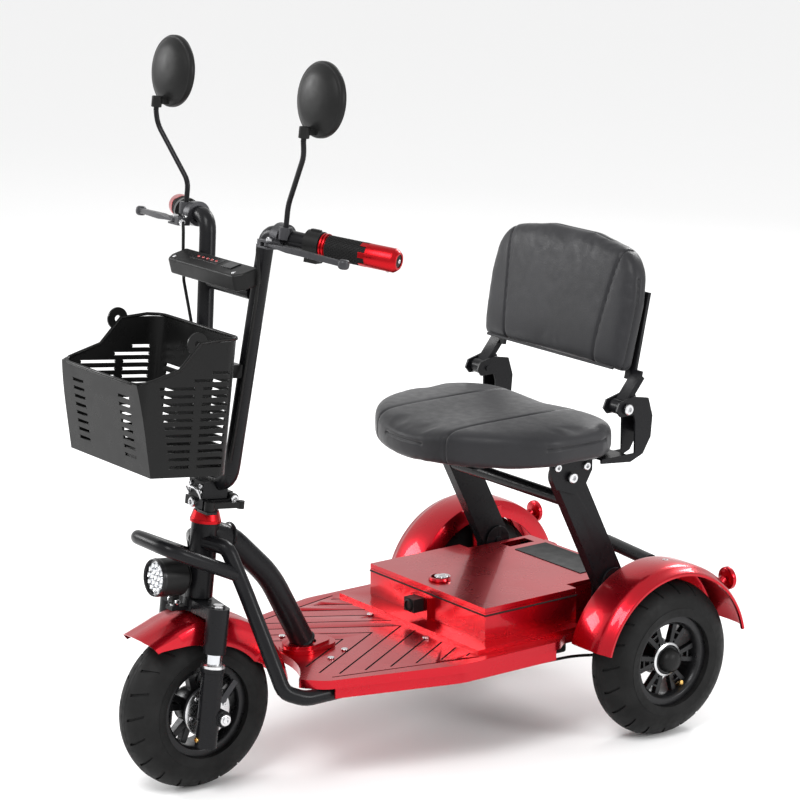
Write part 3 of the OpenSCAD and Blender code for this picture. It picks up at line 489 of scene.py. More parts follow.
def build_rear_rim(node, side):
    body = body_of(node)
    centre = middle(node)
    outer = height(node, 2) / 2
    half_w = 29 * MM
    face_x = side * 13 * MM
    bm = bmesh.new()
    rim_barrel(bm, half_w, outer - 1.2 * MM, 15 * MM)
    spokes = 6
    for k in range(spokes):
        for lean in (-1, 1):
            spoke(bm, 2 * math.pi * (k + 0.5) / spokes, 22 * MM, outer - 12 * MM, face_x,
                  (8 * MM, 9 * MM), 12 * MM, lean * 13 * MM)
        for reach in (0.45, 0.62):
            r = outer * reach
            bar = block(bm, (face_x - 5 * MM, -r * 0.16, r - 2 * MM), (face_x + 5 * MM, r * 0.16, r + 2 * MM))
            bmesh.ops.rotate(bm, cent=(0, 0, 0), matrix=Matrix.Rotation(2 * math.pi * (k + 0.5) / spokes, 3,
                                                                        "X"), verts=bar)
    turned(bm, mm((0, -34), (27, -34), (30, -30), (30, -8), (25, 4), (25, 20), (22, 23), (0, 23)),
           along((0, 0, 0), (side, 0, 0)), 48)
    faced_out(bm)
    place = Vector((side * REAR_WHEEL_X, centre.y, centre.z))
    bmesh.ops.translate(bm, vec=place, verts=bm.verts)
    rim = soften(piece(node + "_finish", bm, "black_alloy", body, "black_alloy", [node]), 1.1 * MM)
    trim = bmesh.new()
    turned(trim, mm((25.3, 16), (28, 16), (28.6, 18), (27.5, 21), (24.2, 22.5), (24.2, 16.5), (25.3, 16)),
           along(place, (side, 0, 0)), 64)
    closed(node + "_ring", trim, "bright_steel", body, "steel")
    cap = bmesh.new()
    turned(cap, mm((0, 22), (19, 22), (20, 24), (18, 34), (13, 39), (6, 41), (0, 41.5)),
           along(place, (side, 0, 0)), 48)
    closed(node + "_cap", cap, "black_plastic", body, "black_plastic")
    valve = bmesh.new()
    spoke_way = Vector((0, math.sin(VALVE_ANGLE), math.cos(VALVE_ANGLE)))
    root = place + Vector((side * 12 * MM, 0, 0)) + spoke_way * (outer - 14 * MM)
    turned(valve, mm((0, 0), (3.2, 0), (3.2, 8), (4, 9), (4, 20), (2.4, 22), (0, 22)),
           along(root, (side * 0.8, -spoke_way.y * 0.6, -spoke_way.z * 0.6)), 20)
    closed(node + "_valve", valve, "brass", body, "steel")
    return rim


def build_front_rim(node):
    body = body_of(node)
    centre = middle(node)
    outer = height(node, 2) / 2
    bm = bmesh.new()
    rim_barrel(bm, 29 * MM, outer - 1.2 * MM, 14 * MM)
    spokes = 5
    for k in range(spokes):
        for lean in (-1, 1):
            spoke(bm, 2 * math.pi * k / spokes, 24 * MM, outer - 12 * MM, 0, (12 * MM, 10 * MM), 16 * MM,
                  lean * 12 * MM)
    turned(bm, mm((6.4, -29), (20, -29), (24, -26), (30, -12), (30, 12), (24, 26), (20, 29), (6.4, 29),
                  (6.4, -29)), along((0, 0, 0), (1, 0, 0)), 48)
    faced_out(bm)
    bmesh.ops.translate(bm, vec=centre, verts=bm.verts)
    return soften(piece(node + "_finish", bm, "black_alloy", body, "black_alloy", [node]), 1.1 * MM)


# ---- fenders ----
def fender_shell(bm, radius, section, start, end, steps):
    """Sweeps a closed section of (x, r) points round the X axis between two angles from straight back."""
    profile = [(x, r * math.cos(start), r * math.sin(start)) for x, r in section]
    verts = [bm.verts.new(p) for p in profile]
    loop = [bm.edges.new((a, b)) for a, b in zip(verts, verts[1:] + verts[:1])]
    bmesh.ops.spin(bm, geom=verts + loop, cent=(0, 0, 0), axis=(1, 0, 0), angle=end - start, steps=steps)
    ends = [e for e in bm.edges if e.is_boundary]
    bmesh.ops.holes_fill(bm, edges=ends, sides=0)
    faced_out(bm)


def walled(outline, wall):
    """A closed section: an open outline of (x, r) points and the same line moved in by the wall."""
    inner = []
    for k, (x, r) in enumerate(outline):
        a = Vector(outline[max(k - 1, 0)])
        b = Vector(outline[min(k + 1, len(outline) - 1)])
        t = (b - a).normalized()
        inner.append((x + t.y * wall, r - t.x * wall))
    return list(outline) + inner[::-1]


def build_rear_fender(node, side):
    low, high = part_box(node)
    body = body_of(node)
    wheel = middle("rear_tyre_left" if side > 0 else "rear_tyre_right")
    top = high.z - wheel.z
    outer_x = max(abs(low.x), abs(high.x)) - abs(wheel.x)
    inner_x = -42 * MM
    outline = [(outer_x - 5 * MM, top - 15 * MM), (outer_x - 0.5 * MM, top - 14.5 * MM),
               (outer_x, top - 11 * MM), (outer_x - 3 * MM, top - 8 * MM),
               (outer_x - 10 * MM, top - 7 * MM), (outer_x - 15 * MM, top - 2.5 * MM),
               (outer_x - 24 * MM, top), (0, top + 0.8 * MM), (inner_x + 12 * MM, top),
               (inner_x + 3 * MM, top - 2 * MM), (inner_x, top - 8 * MM), (inner_x, top - 30 * MM)]
    bm = bmesh.new()
    section = walled([(x * side, r) for x, r in outline], -2.2 * MM * side)
    fender_shell(bm, top, section, math.radians(12), math.radians(165), 56)
    bmesh.ops.translate(bm, vec=wheel, verts=bm.verts)
    inner = wheel.x + side * inner_x
    plate = bmesh.new()
    reach = 30 * MM
    for wide, top_z in ((5 * MM, wheel.z + top - 12 * MM), (24 * MM, DECK_TOP + 4 * MM)):
        block(plate, (inner - side * wide, wheel.y - reach, DECK_TOP),
              (inner - side * 0.3 * MM, wheel.y + reach, top_z))
    soften(closed(node + "_bracket", plate, "candy_paint", body, "red_paint"), 0.9 * MM)
    return piece(node + "_finish", bm, "candy_paint", body, "red_paint", [node])


def build_front_fender(node):
    body = body_of(node)
    half = height(node, 0) / 2
    top = 151.5 * MM
    outline = [(half - 1.5 * MM, top - 47 * MM), (half, top - 45 * MM), (half - 0.5 * MM, top - 12 * MM),
               (half - 5 * MM, top - 4 * MM), (half - 14 * MM, top - 1 * MM), (20 * MM, top - 1.2 * MM),
               (15 * MM, top + 0.8 * MM), (-15 * MM, top + 0.8 * MM), (-20 * MM, top - 1.2 * MM),
               (-half + 14 * MM, top - 1 * MM), (-half + 5 * MM, top - 4 * MM),
               (-half + 0.5 * MM, top - 12 * MM), (-half, top - 45 * MM), (-half + 1.5 * MM, top - 47 * MM)]
    bm = bmesh.new()
    fender_shell(bm, top, walled(outline, -2.2 * MM), math.radians(16), math.radians(136), 48)
    for v in bm.verts:
        angle = math.atan2(v.co.z, v.co.y)
        r = math.hypot(v.co.y, v.co.z)
        turn = math.degrees(angle)
        flare = max(0.0, (turn - 118) / 18)
        ends = min(1.0, max(0.0, (turn - 98) / 36, (46 - turn) / 30))
        if r < top - 6 * MM:
            r = top - 6 * MM - (top - 6 * MM - r) * (1 - 0.72 * ends)
        lift = r + flare * flare * 9 * MM
        v.co.y, v.co.z = lift * math.cos(angle), lift * math.sin(angle)
    bmesh.ops.transform(bm, matrix=STEERED, verts=bm.verts)
    return piece(node + "_finish", bm, "candy_paint", body, "red_paint", [node])


# ---- shared shapes ----
def local(x, y, z):
    """A point given in millimetres, with y measured back from the front axle."""
    return Vector((x * MM, AXLE.y + y * MM, z * MM))


def applied(obj):
    """Replaces an object's mesh with the mesh its modifiers make."""
    graph = bpy.context.evaluated_depsgraph_get()
    mesh = bpy.data.meshes.new_from_object(obj.evaluated_get(graph))
    obj.modifiers.clear()
    old = obj.data
    obj.data = mesh
    if isinstance(old, bpy.types.Mesh):
        bpy.data.meshes.remove(old)
    return mesh


def carved(bm, cutter_bm):
    """Cuts one closed shape out of another and returns the result as a bmesh."""
    objects = []
    for label, source in (("carved", bm), ("cutter", cutter_bm)):
        mesh = bpy.data.meshes.new(label)
        source.to_mesh(mesh)
        source.free()
        obj = bpy.data.objects.new(label, mesh)
        bpy.context.scene.collection.objects.link(obj)
        objects.append(obj)
    target, cutter = objects
    cut = target.modifiers.new("cut", "BOOLEAN")
    cut.operation = "DIFFERENCE"
    cut.solver = "EXACT"
    cut.use_self = True
    cut.object = cutter
    applied(target)
    result = bmesh.new()
    result.from_mesh(target.data)
    for obj in objects:
        mesh = obj.data
        bpy.data.objects.remove(obj)
        bpy.data.meshes.remove(mesh)
    bmesh.ops.remove_doubles(result, verts=result.verts, dist=0.00002)
    bmesh.ops.dissolve_limit(result, angle_limit=math.radians(0.4), verts=result.verts, edges=result.edges)
    return result


def wire(name, points, radius, material, body, slot, closed=False, sides=4):
    """A round wire or welt along a line through points."""
    curve = bpy.data.curves.new(name, "CURVE")
    curve.dimensions = "3D"
    curve.bevel_depth = radius
    curve.bevel_resolution = sides
    curve.use_fill_caps = not closed
    line = curve.splines.new("POLY")
    line.points.add(len(points) - 1)
    line.use_cyclic_u = closed
    for point, place in zip(line.points, points):
        point.co = (*place, 1.0)
    holder = bpy.data.objects.new(name, curve)
    bpy.context.scene.collection.objects.link(holder)
    graph = bpy.context.evaluated_depsgraph_get()
    mesh = bpy.data.meshes.new_from_object(holder.evaluated_get(graph))
    bm = bmesh.new()
    bm.from_mesh(mesh)
    faced_out(bm)
    bpy.data.objects.remove(holder)
    bpy.data.curves.remove(curve)
    bpy.data.meshes.remove(mesh)
    return piece(name, bm, material, body, slot)


def eased(points, cut, steps=5):
    """Rounds the corners of a line of points over a length on both sides."""
    points = [Vector(p) for p in points]
    out = [points[0]]
    for a, b, c in zip(points, points[1:], points[2:]):
        start = b + (a - b).normalized() * cut
        end = b + (c - b).normalized() * cut
        for k in range(steps + 1):
            t = k / steps
            out.append(start * (1 - t) ** 2 + b * 2 * t * (1 - t) + end * t * t)
    return out + [points[-1]]


def bolts(name, body, places, material="bright_steel", slot="steel"):
    """A group of screws: each place is (at, direction, radius, height)."""
    bm = bmesh.new()
    for at, direction, radius, tall in places:
        cap_bolt(bm, at, direction, radius * MM, tall * MM)
    return closed(name, bm, material, body, slot)


def both_sides(places):
    """The same screws with their mirror images."""
    out = []
    for at, direction, radius, tall in places:
        out.append((at, direction, radius, tall))
        out.append((mirrored_point(at), mirrored_point(direction), radius, tall))
    return out


def build_fender_screws():
    places = []
    for side in (-1, 1):
        for x, y, z in ((230, 712, 277), (240, 739, 282)):
            at = local(side * x, y, z)
            places.append((at, (at - local(side * x, 724, 127.5)).normalized(), 5, 3))
    bolts("fender_screws", "chassis", places)
    places = []
    for side in (-1, 1):
        for v in (-12, 12):
            places.append((local(side * 188, 724 + v * 1.5, 182), (0, 0, 1), 4.5, 3))
    bolts("fender_foot_screws", "chassis", places)


# ---- deck and battery box ----
def build_deck(sizes):
    cutter = bmesh.new()
    low, high = DECK_TOP - sizes.groove_depth, DECK_TOP + 4 * MM
    wide = 1.6 * MM
    lines = []
    slope = 0.62
    for k in range(9):
        apex = 278 + 57 * k
        rear = min(apex, 396)
        inner = (apex - rear) * slope
        front = max(156.0, (apex + 160 * 0.238 / slope - 128 / slope) / (1 + 0.238 / slope))
        outer = (apex - front) * slope
        if outer - inner > 6:
            lines.append(((inner, rear), (outer, front)))
    lines.append(((140, 160), (196, 396)))
    for (x0, y0), (x1, y1) in lines:
        for side in (-1, 1):
            start = local(side * x0, y0, 0)
            end = local(side * x1, y1, 0)
            run = end - start
            turn = Matrix.Translation(start) @ Matrix.Rotation(math.atan2(-run.x, run.y), 4, "Z")
            block(cutter, (-wide, -wide * 0.6, low), (wide, run.length + wide * 0.6, high), turn)
    bm = carved(node_mesh("deck_plate"), cutter)
    floor_z = low + 0.2 * MM
    for face in bm.faces:
        centre = face.calc_center_median()
        on_floor = low - 0.2 * MM < centre.z < floor_z
        on_wall = (low < centre.z < DECK_TOP - 0.2 * MM and abs(face.normal.z) < 0.1
                   and len(face.verts) < 8 and face.calc_area() < 0.0006)
        if on_floor or on_wall:
            face.material_index = 1
    deck = piece("deck_plate_finish", bm, "candy_paint", "chassis", "red_paint", ["deck_plate"])
    deck.data.materials.append(MATERIALS["black_plastic"])
    soften(deck, 0.6 * MM)


def build_box():
    dress("battery_cover", "candy_paint", "red_paint", 1.4 * MM)
    dress("battery_lid", "candy_paint", "red_paint", 2.0 * MM)
    dress("battery_pack", "black_plastic", "black_plastic", 3 * MM)
    dress("under_box", "black_plastic", "black_plastic", 5 * MM)
    dress("charge_port", "black_plastic", "black_plastic", 2 * MM)
    dress("deck_socket", "candy_paint", "red_paint", 2.2 * MM)
    body = "lid"
    low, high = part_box("label_plate")
    bm = bmesh.new()
    block(bm, (low.x, low.y, LID_TOP), (high.x, high.y, high.z))
    top = [f for f in bm.faces if f.normal.z > 0.9]
    bmesh.ops.inset_region(bm, faces=top, thickness=3 * MM, depth=-0.5 * MM)
    soften(closed("label_plate_finish", bm, "black_plastic", body, "black_plastic", ["label_plate"]),
           0.3 * MM)
    key_at = JOINTS["key_turn"].get("pos", middle("key_lock"))
    turn = along((key_at[0], key_at[1], 0), (0, 0, 1))
    dress("key_lock", "bright_steel", "steel", 0.7 * MM)
    collar = bmesh.new()
    turned(collar, [(14 * MM, LID_TOP), (18 * MM, LID_TOP), (18.5 * MM, LID_TOP + 1.5 * MM),
                    (17 * MM, LID_TOP + 5 * MM), (14 * MM, LID_TOP + 5.5 * MM), (14 * MM, LID_TOP)], turn, 48)
    closed("lock_collar", collar, "candy_paint", body, "red_paint")
    port = middle("charge_port")
    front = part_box("charge_port")[0].y
    ring = bmesh.new()
    turned(ring, mm((0, 0), (10, 0), (10, 2), (8, 3), (8, 0.5), (0, 0.5)),
           along((port.x, front, port.z), (0, -1, 0)), 32)
    closed("charge_socket_ring", ring, "black_plastic", "chassis", "black_plastic")
    seam_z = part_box("battery_lid")[0].z - 1.2 * MM
    seam = [local(x, y, 0) for x, y in ((-153, 628), (-153, 443), (153, 443), (153, 628))]
    seam = [Vector((p.x, p.y, seam_z)) for p in seam]
    wire("lid_seam", seam, 1.6 * MM, "black_plastic", "chassis", "black_plastic", sides=2)


# ---- seat ----
SEAM_WIDTH = 3.6 * MM
EDGE_BAND = 9 * MM
SEAT_SEAM_X = 88 * MM
BACKREST_LEAN = math.radians(12)
BACKREST_FOOT = (0, 702, 584)
BACKREST_TALL = 210 * MM


def outline_bevel(bm, axis, width, segments=5):
    """Rounds the edges between the sides and the two flat faces of an extruded shape."""
    edges = []
    for edge in bm.edges:
        if len(edge.link_faces) != 2:
            continue
        caps = [abs(f.normal.dot(axis)) > 0.9 for f in edge.link_faces]
        if caps[0] != caps[1]:
            edges.append(edge)
    bmesh.ops.bevel(bm, geom=edges, offset=width, segments=segments, profile=0.5, affect="EDGES",
                    clamp_overlap=True, material=-1)


def remeshed(name, bm, size):
    mesh = bpy.data.meshes.new(name)
    bm.to_mesh(mesh)
    bm.free()
    obj = bpy.data.objects.new(name, mesh)
    bpy.context.scene.collection.objects.link(obj)
    voxels = obj.modifiers.new("voxels", "REMESH")
    voxels.mode = "VOXEL"
    voxels.voxel_size = size
    ease = obj.modifiers.new("ease", "SMOOTH")
    ease.factor = 0.6
    ease.iterations = 6
    applied(obj)
    return obj


def inflated(obj, cap):
    """Puffs a closed cushion with cloth pressure, and holds every point within a cap."""
    rest = [v.co.copy() for v in obj.data.vertices]
    cloth = obj.modifiers.new("cloth", "CLOTH")
    cloth.settings.quality = 5
    cloth.settings.mass = 0.2
    cloth.settings.tension_stiffness = 30
    cloth.settings.compression_stiffness = 30
    cloth.settings.bending_stiffness = 2
    cloth.settings.use_pressure = True
    cloth.settings.uniform_pressure_force = 4
    cloth.settings.effector_weights.gravity = 0
    cloth.point_cache.frame_start = 1
    cloth.point_cache.frame_end = 20
    scene = bpy.context.scene
    for number in range(1, 21):
        scene.frame_set(number)
    applied(obj)
    for v, start in zip(obj.data.vertices, rest):
        move = v.co - start
        if move.length > cap:
            v.co = start + move * (cap / move.length)
    scene.frame_set(1)
    return obj


def groove(co, normal, depth, gaps, width):
    """Sinks a point under a seam; gaps are its distances from the seams."""
    near = min(gaps)
    share = max(0.0, 1.0 - near / width)
    roll = max(0.0, 1.0 - near / (width * 3.2))
    return co - normal * (depth * share * share + depth * 0.3 * roll * roll)


def cushion(name, node, body, axis, crown, gaps_at, sizes):
    """A crowned, seamed cushion that stands for a CAD pad."""
    bm = node_mesh(node)
    bm.normal_update()
    outline_bevel(bm, axis, 15 * MM)
    obj = remeshed(name, bm, 5 * MM)
    for v in obj.data.vertices:
        v.co = crown(v.co)
    inflated(obj, 3 * MM)
    fine = obj.modifiers.new("fine", "SUBSURF")
    fine.levels = 1
    fine.render_levels = 1
    mesh = applied(obj)
    normals = [v.normal.copy() for v in mesh.vertices]
    for v, n in zip(mesh.vertices, normals):
        v.co = groove(v.co, n, sizes.seam_depth, gaps_at(v.co), SEAM_WIDTH)
    mesh.materials.clear()
    mesh.materials.append(MATERIALS["leather"])
    mesh.shade_smooth()
    settle(obj, body, "leather", [node])
    return obj


def build_seat(sizes):
    low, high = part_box("seat_cushion")
    mid = (low + high) / 2
    half_x, half_y = (high.x - low.x) / 2, (high.y - low.y) / 2

    def crown(co):
        across = min(1.0, abs(co.x - mid.x) / half_x)
        deep = min(1.0, abs(co.y - mid.y) / half_y)
        up = (co.z - low.z) / (high.z - low.z)
        drop = 9 * MM * (across ** 4 + deep ** 4) * up
        dish = 4 * MM * math.exp(-((co.x - mid.x) / 0.07) ** 2) * up
        return Vector((co.x, co.y, co.z - drop - dish))

    def gaps_at(co):
        side = abs(co.z - (low.z + 0.55 * (high.z - low.z))) if inside_edge(co) else 1.0
        top = abs(abs(co.x - mid.x) - SEAT_SEAM_X) if co.z > low.z + 6 * MM else 1.0
        return top, side

    def inside_edge(co):
        return (abs(co.x - mid.x) > half_x - EDGE_BAND or co.y < low.y + EDGE_BAND
                or co.y > high.y - EDGE_BAND)

    cushion("seat_cushion_finish", "seat_cushion", "seat", Vector((0, 0, 1)), crown, gaps_at, sizes)


def build_backrest(sizes):
    foot = local(*BACKREST_FOOT)
    facing = Vector((0, -math.cos(BACKREST_LEAN), math.sin(BACKREST_LEAN)))
    rise = Vector((0, math.sin(BACKREST_LEAN), math.cos(BACKREST_LEAN)))
    low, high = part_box("backrest_cushion")
    half_x = (high.x - low.x) / 2

    def crown(co):
        d = co - foot
        deep, up = d.dot(facing), d.dot(rise) / BACKREST_TALL
        across = min(1.0, abs(co.x) / half_x)
        share = deep / 0.04 + 0.5
        pull = 7 * MM * (across ** 4 + abs(2 * up - 1) ** 4)
        return co - facing * pull * (share - 0.15)

    def gaps_at(co):
        d = co - foot
        up = d.dot(rise) / BACKREST_TALL
        deep = d.dot(facing)
        bow = 112 + 31 * up ** 1.3
        seam = abs(abs(co.x) - bow * MM) if deep > -6 * MM else 1.0
        edge = abs(co.x) > half_x - EDGE_BAND or up > 0.95 or up < 0.05
        rim = abs(deep - 2 * MM) if edge else 1.0
        return seam, rim

    cushion("backrest_cushion_finish", "backrest_cushion", "backrest", facing, crown, gaps_at, sizes)
    welt = [foot + facing * 12 * MM + Vector((x * MM, 0, 0)) + rise * 3 * MM for x in range(-160, 161, 8)]
    wire("backrest_piping", welt, 2.4 * MM, "leather", "backrest", "leather")


def build_seat_base():
    for node in ("seat_posts", "seat_feet", "seat_frame", "backrest_frame"):
        dress(node, "black_coat", "black_paint", 1.6 * MM)
    out = (1, 0, 0)
    bolts("gusset_bolts", "seat", both_sides([(local(165, 575, 446), out, 6.5, 5),
                                              (local(165, 634, 440), out, 6.5, 5)]))
    bolts("pivot_bolts", "posts", both_sides([(local(169, 603, 426), out, 8.5, 5)]))
    bolts("post_foot_bolts", "chassis", both_sides([(local(168, 697, 236), out, 9, 5),
                                                    (local(165, 684, 205), out, 5, 3.5),
                                                    (local(165, 710, 205), out, 5, 3.5)]))
    bolts("hinge_bolts", "seat", both_sides([(local(199, 690, 530), out, 8.5, 5)]))


# ---- frame, fork and steering ----
def build_frame_tubes():
    for node in ("backbone", "down_tube_left", "down_tube_right", "crash_hoop", "rear_bar", "head_tube"):
        dress(node, "black_coat", "black_paint")
    dress("rear_axle", "black_coat", "black_paint")
    dress("rear_brake_cable", "cable_sleeve", "cable_black", 0.0)
    dress("headset_cup", "red_anodised", "red_anodised", 0.6 * MM)
    dress("deck_screws", "bright_steel", "steel", 1.0 * MM)
    welds = bmesh.new()
    for at, direction, radius in ((local(0, 66, 385), (0, 0.96, -0.25), 20.5),
                                  (local(0, 200, 192), (0, 0.48, -0.88), 21)):
        rim = radius * MM
        turned(welds, [(rim - 2.2 * MM, -3 * MM), (rim, -2 * MM), (rim + 1 * MM, 0), (rim, 2 * MM),
                       (rim - 2.2 * MM, 3 * MM), (rim - 2.2 * MM, -3 * MM)], along(at, direction), 40)
    closed("weld_collars", welds, "black_coat", "chassis", "black_paint")


def build_fork(sizes):
    dress("steerer", "black_coat", "black_paint", 1.2 * MM)
    dress("fork_crown", "black_coat", "black_paint", 2.0 * MM)
    dress("fork_stanchions", "hard_chrome", "chrome")
    dress("fork_sliders", "black_coat", "black_paint", 1.4 * MM)
    dress("front_axle", "bright_steel", "steel", 1.4 * MM)
    dress("front_brake", "grey_casting", "grey_casting", 1.4 * MM)
    dress("fold_block", "black_coat", "black_paint", 2.0 * MM)
    dress("fold_lever", "black_plastic", "black_plastic", 2.0 * MM)
    up = STEER_AXIS
    back = Vector((0, up.z, -up.y))
    collars = bmesh.new()
    boots = bmesh.new()
    for side in (-1, 1):
        foot = steered(side * 64 * MM, -16 * MM, 78 * MM)
        turned(collars, mm((13.4, 0), (18.4, 0), (18.4, 4), (16, 6), (13.4, 6), (13.4, 0)), along(foot, up),
               40)
        top = steered(side * 64 * MM, -16 * MM, 169.5 * MM)
        turned(boots, mm((0, 0), (11, 0), (11, 3), (9, 5), (0, 5)), along(top, up), 6)
    faced_out(collars)
    faced_out(boots)
    piece("fork_collars", collars, "bright_steel", "fork_lower", "steel")
    soften(piece("crown_caps", boots, "bright_steel", "steering", "steel"), 0.8 * MM)
    drains = []
    for side in (-1, 1):
        drains.append((steered(side * 64 * MM, -33 * MM, -34 * MM), -back, 4, 3))
    bolts("leg_drains", "fork_lower", drains, "brass")
    bolts("axle_nuts", "fork_lower", both_sides([(steered(88 * MM, 0, 0), (1, 0, 0), 5.5, 3)]))
    disc = bmesh.new()
    turned(disc, mm((22, 0), (39, 0), (40, 0.6), (39, 1.2), (22, 1.2), (22, 0)),
           along(steered(36.3 * MM, 0, 0), (1, 0, 0)), 64)
    closed("brake_plate_face", disc, "bright_steel", "fork_lower", "steel")
    places = []
    for k in range(6):
        a = math.pi * k / 3 + 0.3
        places.append((steered(37.3 * MM, 31 * math.cos(a) * MM, 31 * math.sin(a) * MM), (1, 0, 0), 3.2, 2))
    bolts("brake_plate_bolts", "fork_lower", places)
    clip = [steered(u * MM, v * MM, w * MM) for u, v, w in
            ((-15, -34, 331), (-15, -42, 343), (15, -42, 343), (15, -34, 331), (15, -30, 322))]
    wire("fold_spring_clip", eased(clip, 5 * MM), 1.6 * MM, "bright_steel", "handlebar", "steel")
    bolts("fold_cam_bolt", "steering", [(steered(0, -34 * MM, 319 * MM), -back, 7.5, 6)])
    bolts("fold_clamp_bolts", "handlebar",
          [(steered(u * MM, -32 * MM, w * MM), -back, 3.6, 3) for u in (-14, 14) for w in (337, 346)])
    bolts("fold_pin_heads", "steering", both_sides([(steered(24 * MM, 22 * MM, 326.5 * MM), (1, 0, 0), 6.5,
                                                     3)]))


def build_headlight():
    dress("headlight_body", "black_plastic", "headlight_black", 1.0 * MM)
    up = STEER_AXIS
    ahead = Vector((0, -up.z, up.y))
    face = middle("headlight_lens") - ahead * 2.2 * MM
    bezel = bmesh.new()
    turned(bezel, mm((25.8, 0), (28.9, 0), (29.3, 3), (28.4, 8), (27, 8.6), (25.8, 7), (25.8, 0)),
           along(face, ahead), 72)
    closed("headlight_bezel", bezel, "black_alloy", "headlight", "headlight_black")
    plate = bmesh.new()
    turned(plate, mm((0, 0), (25.4, 0), (25.4, 2.4), (0, 2.4)), along(face, ahead), 64)
    closed("headlight_plate", plate, "bright_steel", "headlight", "chrome", ["headlight_lens"])
    domes = bmesh.new()
    cups = bmesh.new()
    spots = [(0.0, 0.0)]
    for ring, count in ((9.4, 6), (18.6, 12)):
        spots += [(ring * math.cos(2 * math.pi * k / count), ring * math.sin(2 * math.pi * k / count))
                  for k in range(count)]
    for u, w in spots:
        at = face + Vector((u * MM, 0, 0)) + up * (w * MM) + ahead * 2.3 * MM
        turned(domes, mm((0, 0), (2.5, 0), (2.5, 1.6), (1.7, 3.2), (0.8, 3.8), (0, 4)), along(at, ahead), 16)
        turned(cups, mm((2.7, 0), (4.3, 1.9), (4.5, 1.9), (4.5, 0), (2.7, 0)), along(at, ahead), 24)
    faced_out(domes)
    faced_out(cups)
    piece("headlight_domes", domes, "led_dome", "headlight", "clear_lens")
    piece("headlight_cups", cups, "hard_chrome", "headlight", "chrome")
    pivot = steered(0, -54 * MM, 168 * MM)
    bolts("headlight_bolts", "steering", both_sides([(pivot + Vector((9.2 * MM, 0, 0)), (1, 0, 0), 4.4, 3)]))
    bolts("headlight_bracket_bolt", "steering", [(steered(0, -55 * MM, 160 * MM), up, 5, 3)])


# ---- handlebar and controls ----
KNEE = Vector((138, 4, 738)) * MM
TIP = Vector((292, 85, 730)) * MM
GRIP_START = 51 * MM
GRIP_SIDES = 44


def on_bar(side, distance):
    """A matrix at a distance out along a grip, with z running outward."""
    out = (TIP - KNEE).normalized()
    at = KNEE + out * distance
    if side < 0:
        at, out = mirrored_point(at), mirrored_point(out)
    return STEERED @ along(at, out)


def build_grip(node, side):
    body = body_of(node)
    total = (TIP - KNEE).length - GRIP_START
    split = total * 0.6
    place = on_bar(side, GRIP_START)
    sleeve = bmesh.new()
    rows = 22
    radius = 16.6 * MM
    bore = 11.3 * MM
    profile = [(bore, 9 * MM)] + [(radius, 9 * MM + (split - 9 * MM) * k / rows) for k in range(rows + 1)]
    profile += [(bore, split), (bore, 9 * MM)]
    spun(sleeve, [(r, 0, z) for r, z in profile], (0, 0, 1), steps=GRIP_SIDES)
    faced_out(sleeve)
    raised = []
    for face in sleeve.faces:
        c = face.calc_center_median()
        if abs(face.normal.z) > 0.3 or math.hypot(c.x, c.y) < radius * 0.9:
            continue
        row = int((c.z - 9 * MM) / ((split - 9 * MM) / rows))
        column = int(round(math.atan2(c.y, c.x) / (2 * math.pi / GRIP_SIDES) - 0.5))
        if (row + column) % 2 == 0:
            raised.append(face)
    bmesh.ops.inset_individual(sleeve, faces=raised, thickness=0.35 * MM, depth=0.9 * MM)
    bmesh.ops.transform(sleeve, matrix=place, verts=sleeve.verts)
    closed(node + "_finish", sleeve, "grip_rubber", body, "grip_rubber", [node])
    red = bmesh.new()
    outer = 17.6 * MM
    turned(red, [(bore, split), (outer, split), (outer, total - 7 * MM), (outer - 1 * MM, total - 5 * MM),
                 (outer - 5 * MM, total), (9.5 * MM, total), (9.5 * MM, total - 3 * MM),
                 (bore - 3 * MM, total - 3 * MM), (bore - 3 * MM, total - 12 * MM), (bore, total - 12 * MM),
                 (bore, split)], place, 60)
    for k in range(6):
        turn = place @ Matrix.Rotation(2 * math.pi * k / 6, 4, "Z")
        verts = block(red, (radius * 0.8, -4.2 * MM, split - 10 * MM), (outer, 4.2 * MM, split + 1 * MM))
        bmesh.ops.transform(red, matrix=turn, verts=verts)
    soften(closed(node + "_sleeve_end", red, "red_anodised", body, "red_anodised"), 0.7 * MM)
    rings = bmesh.new()
    for z in (0.2 * MM, 5 * MM):
        turned(rings, [(bore, z), (18.6 * MM, z), (19 * MM, z + 1.4 * MM), (18.6 * MM, z + 2.8 * MM),
                       (bore, z + 2.8 * MM), (bore, z)], place, 60)
    turned(rings, [(bore, 3 * MM), (16 * MM, 3 * MM), (16 * MM, 9 * MM), (bore, 9 * MM), (bore, 3 * MM)],
           place, 40)
    closed(node + "_rings", rings, "red_anodised", body, "red_anodised")
    plug = bmesh.new()
    turned(plug, [(0, total - 9 * MM), (9.2 * MM, total - 9 * MM), (9.2 * MM, total - 1.6 * MM),
                  (8 * MM, total - 0.8 * MM), (0, total - 0.8 * MM)], place, 32)
    closed(node + "_plug", plug, "black_plastic", body, "black_plastic")
    out = place.to_3x3() @ Vector((0, 0, 1))
    turn = place.to_3x3() @ Vector((0, 1, 0))
    bolts(node + "_screws", body, [(place @ Vector((0, 0, total - 0.9 * MM)), out, 3, 1.4),
                                   (place @ Vector((0, -outer, total - 16 * MM)), -turn, 2.6, 1.2)])


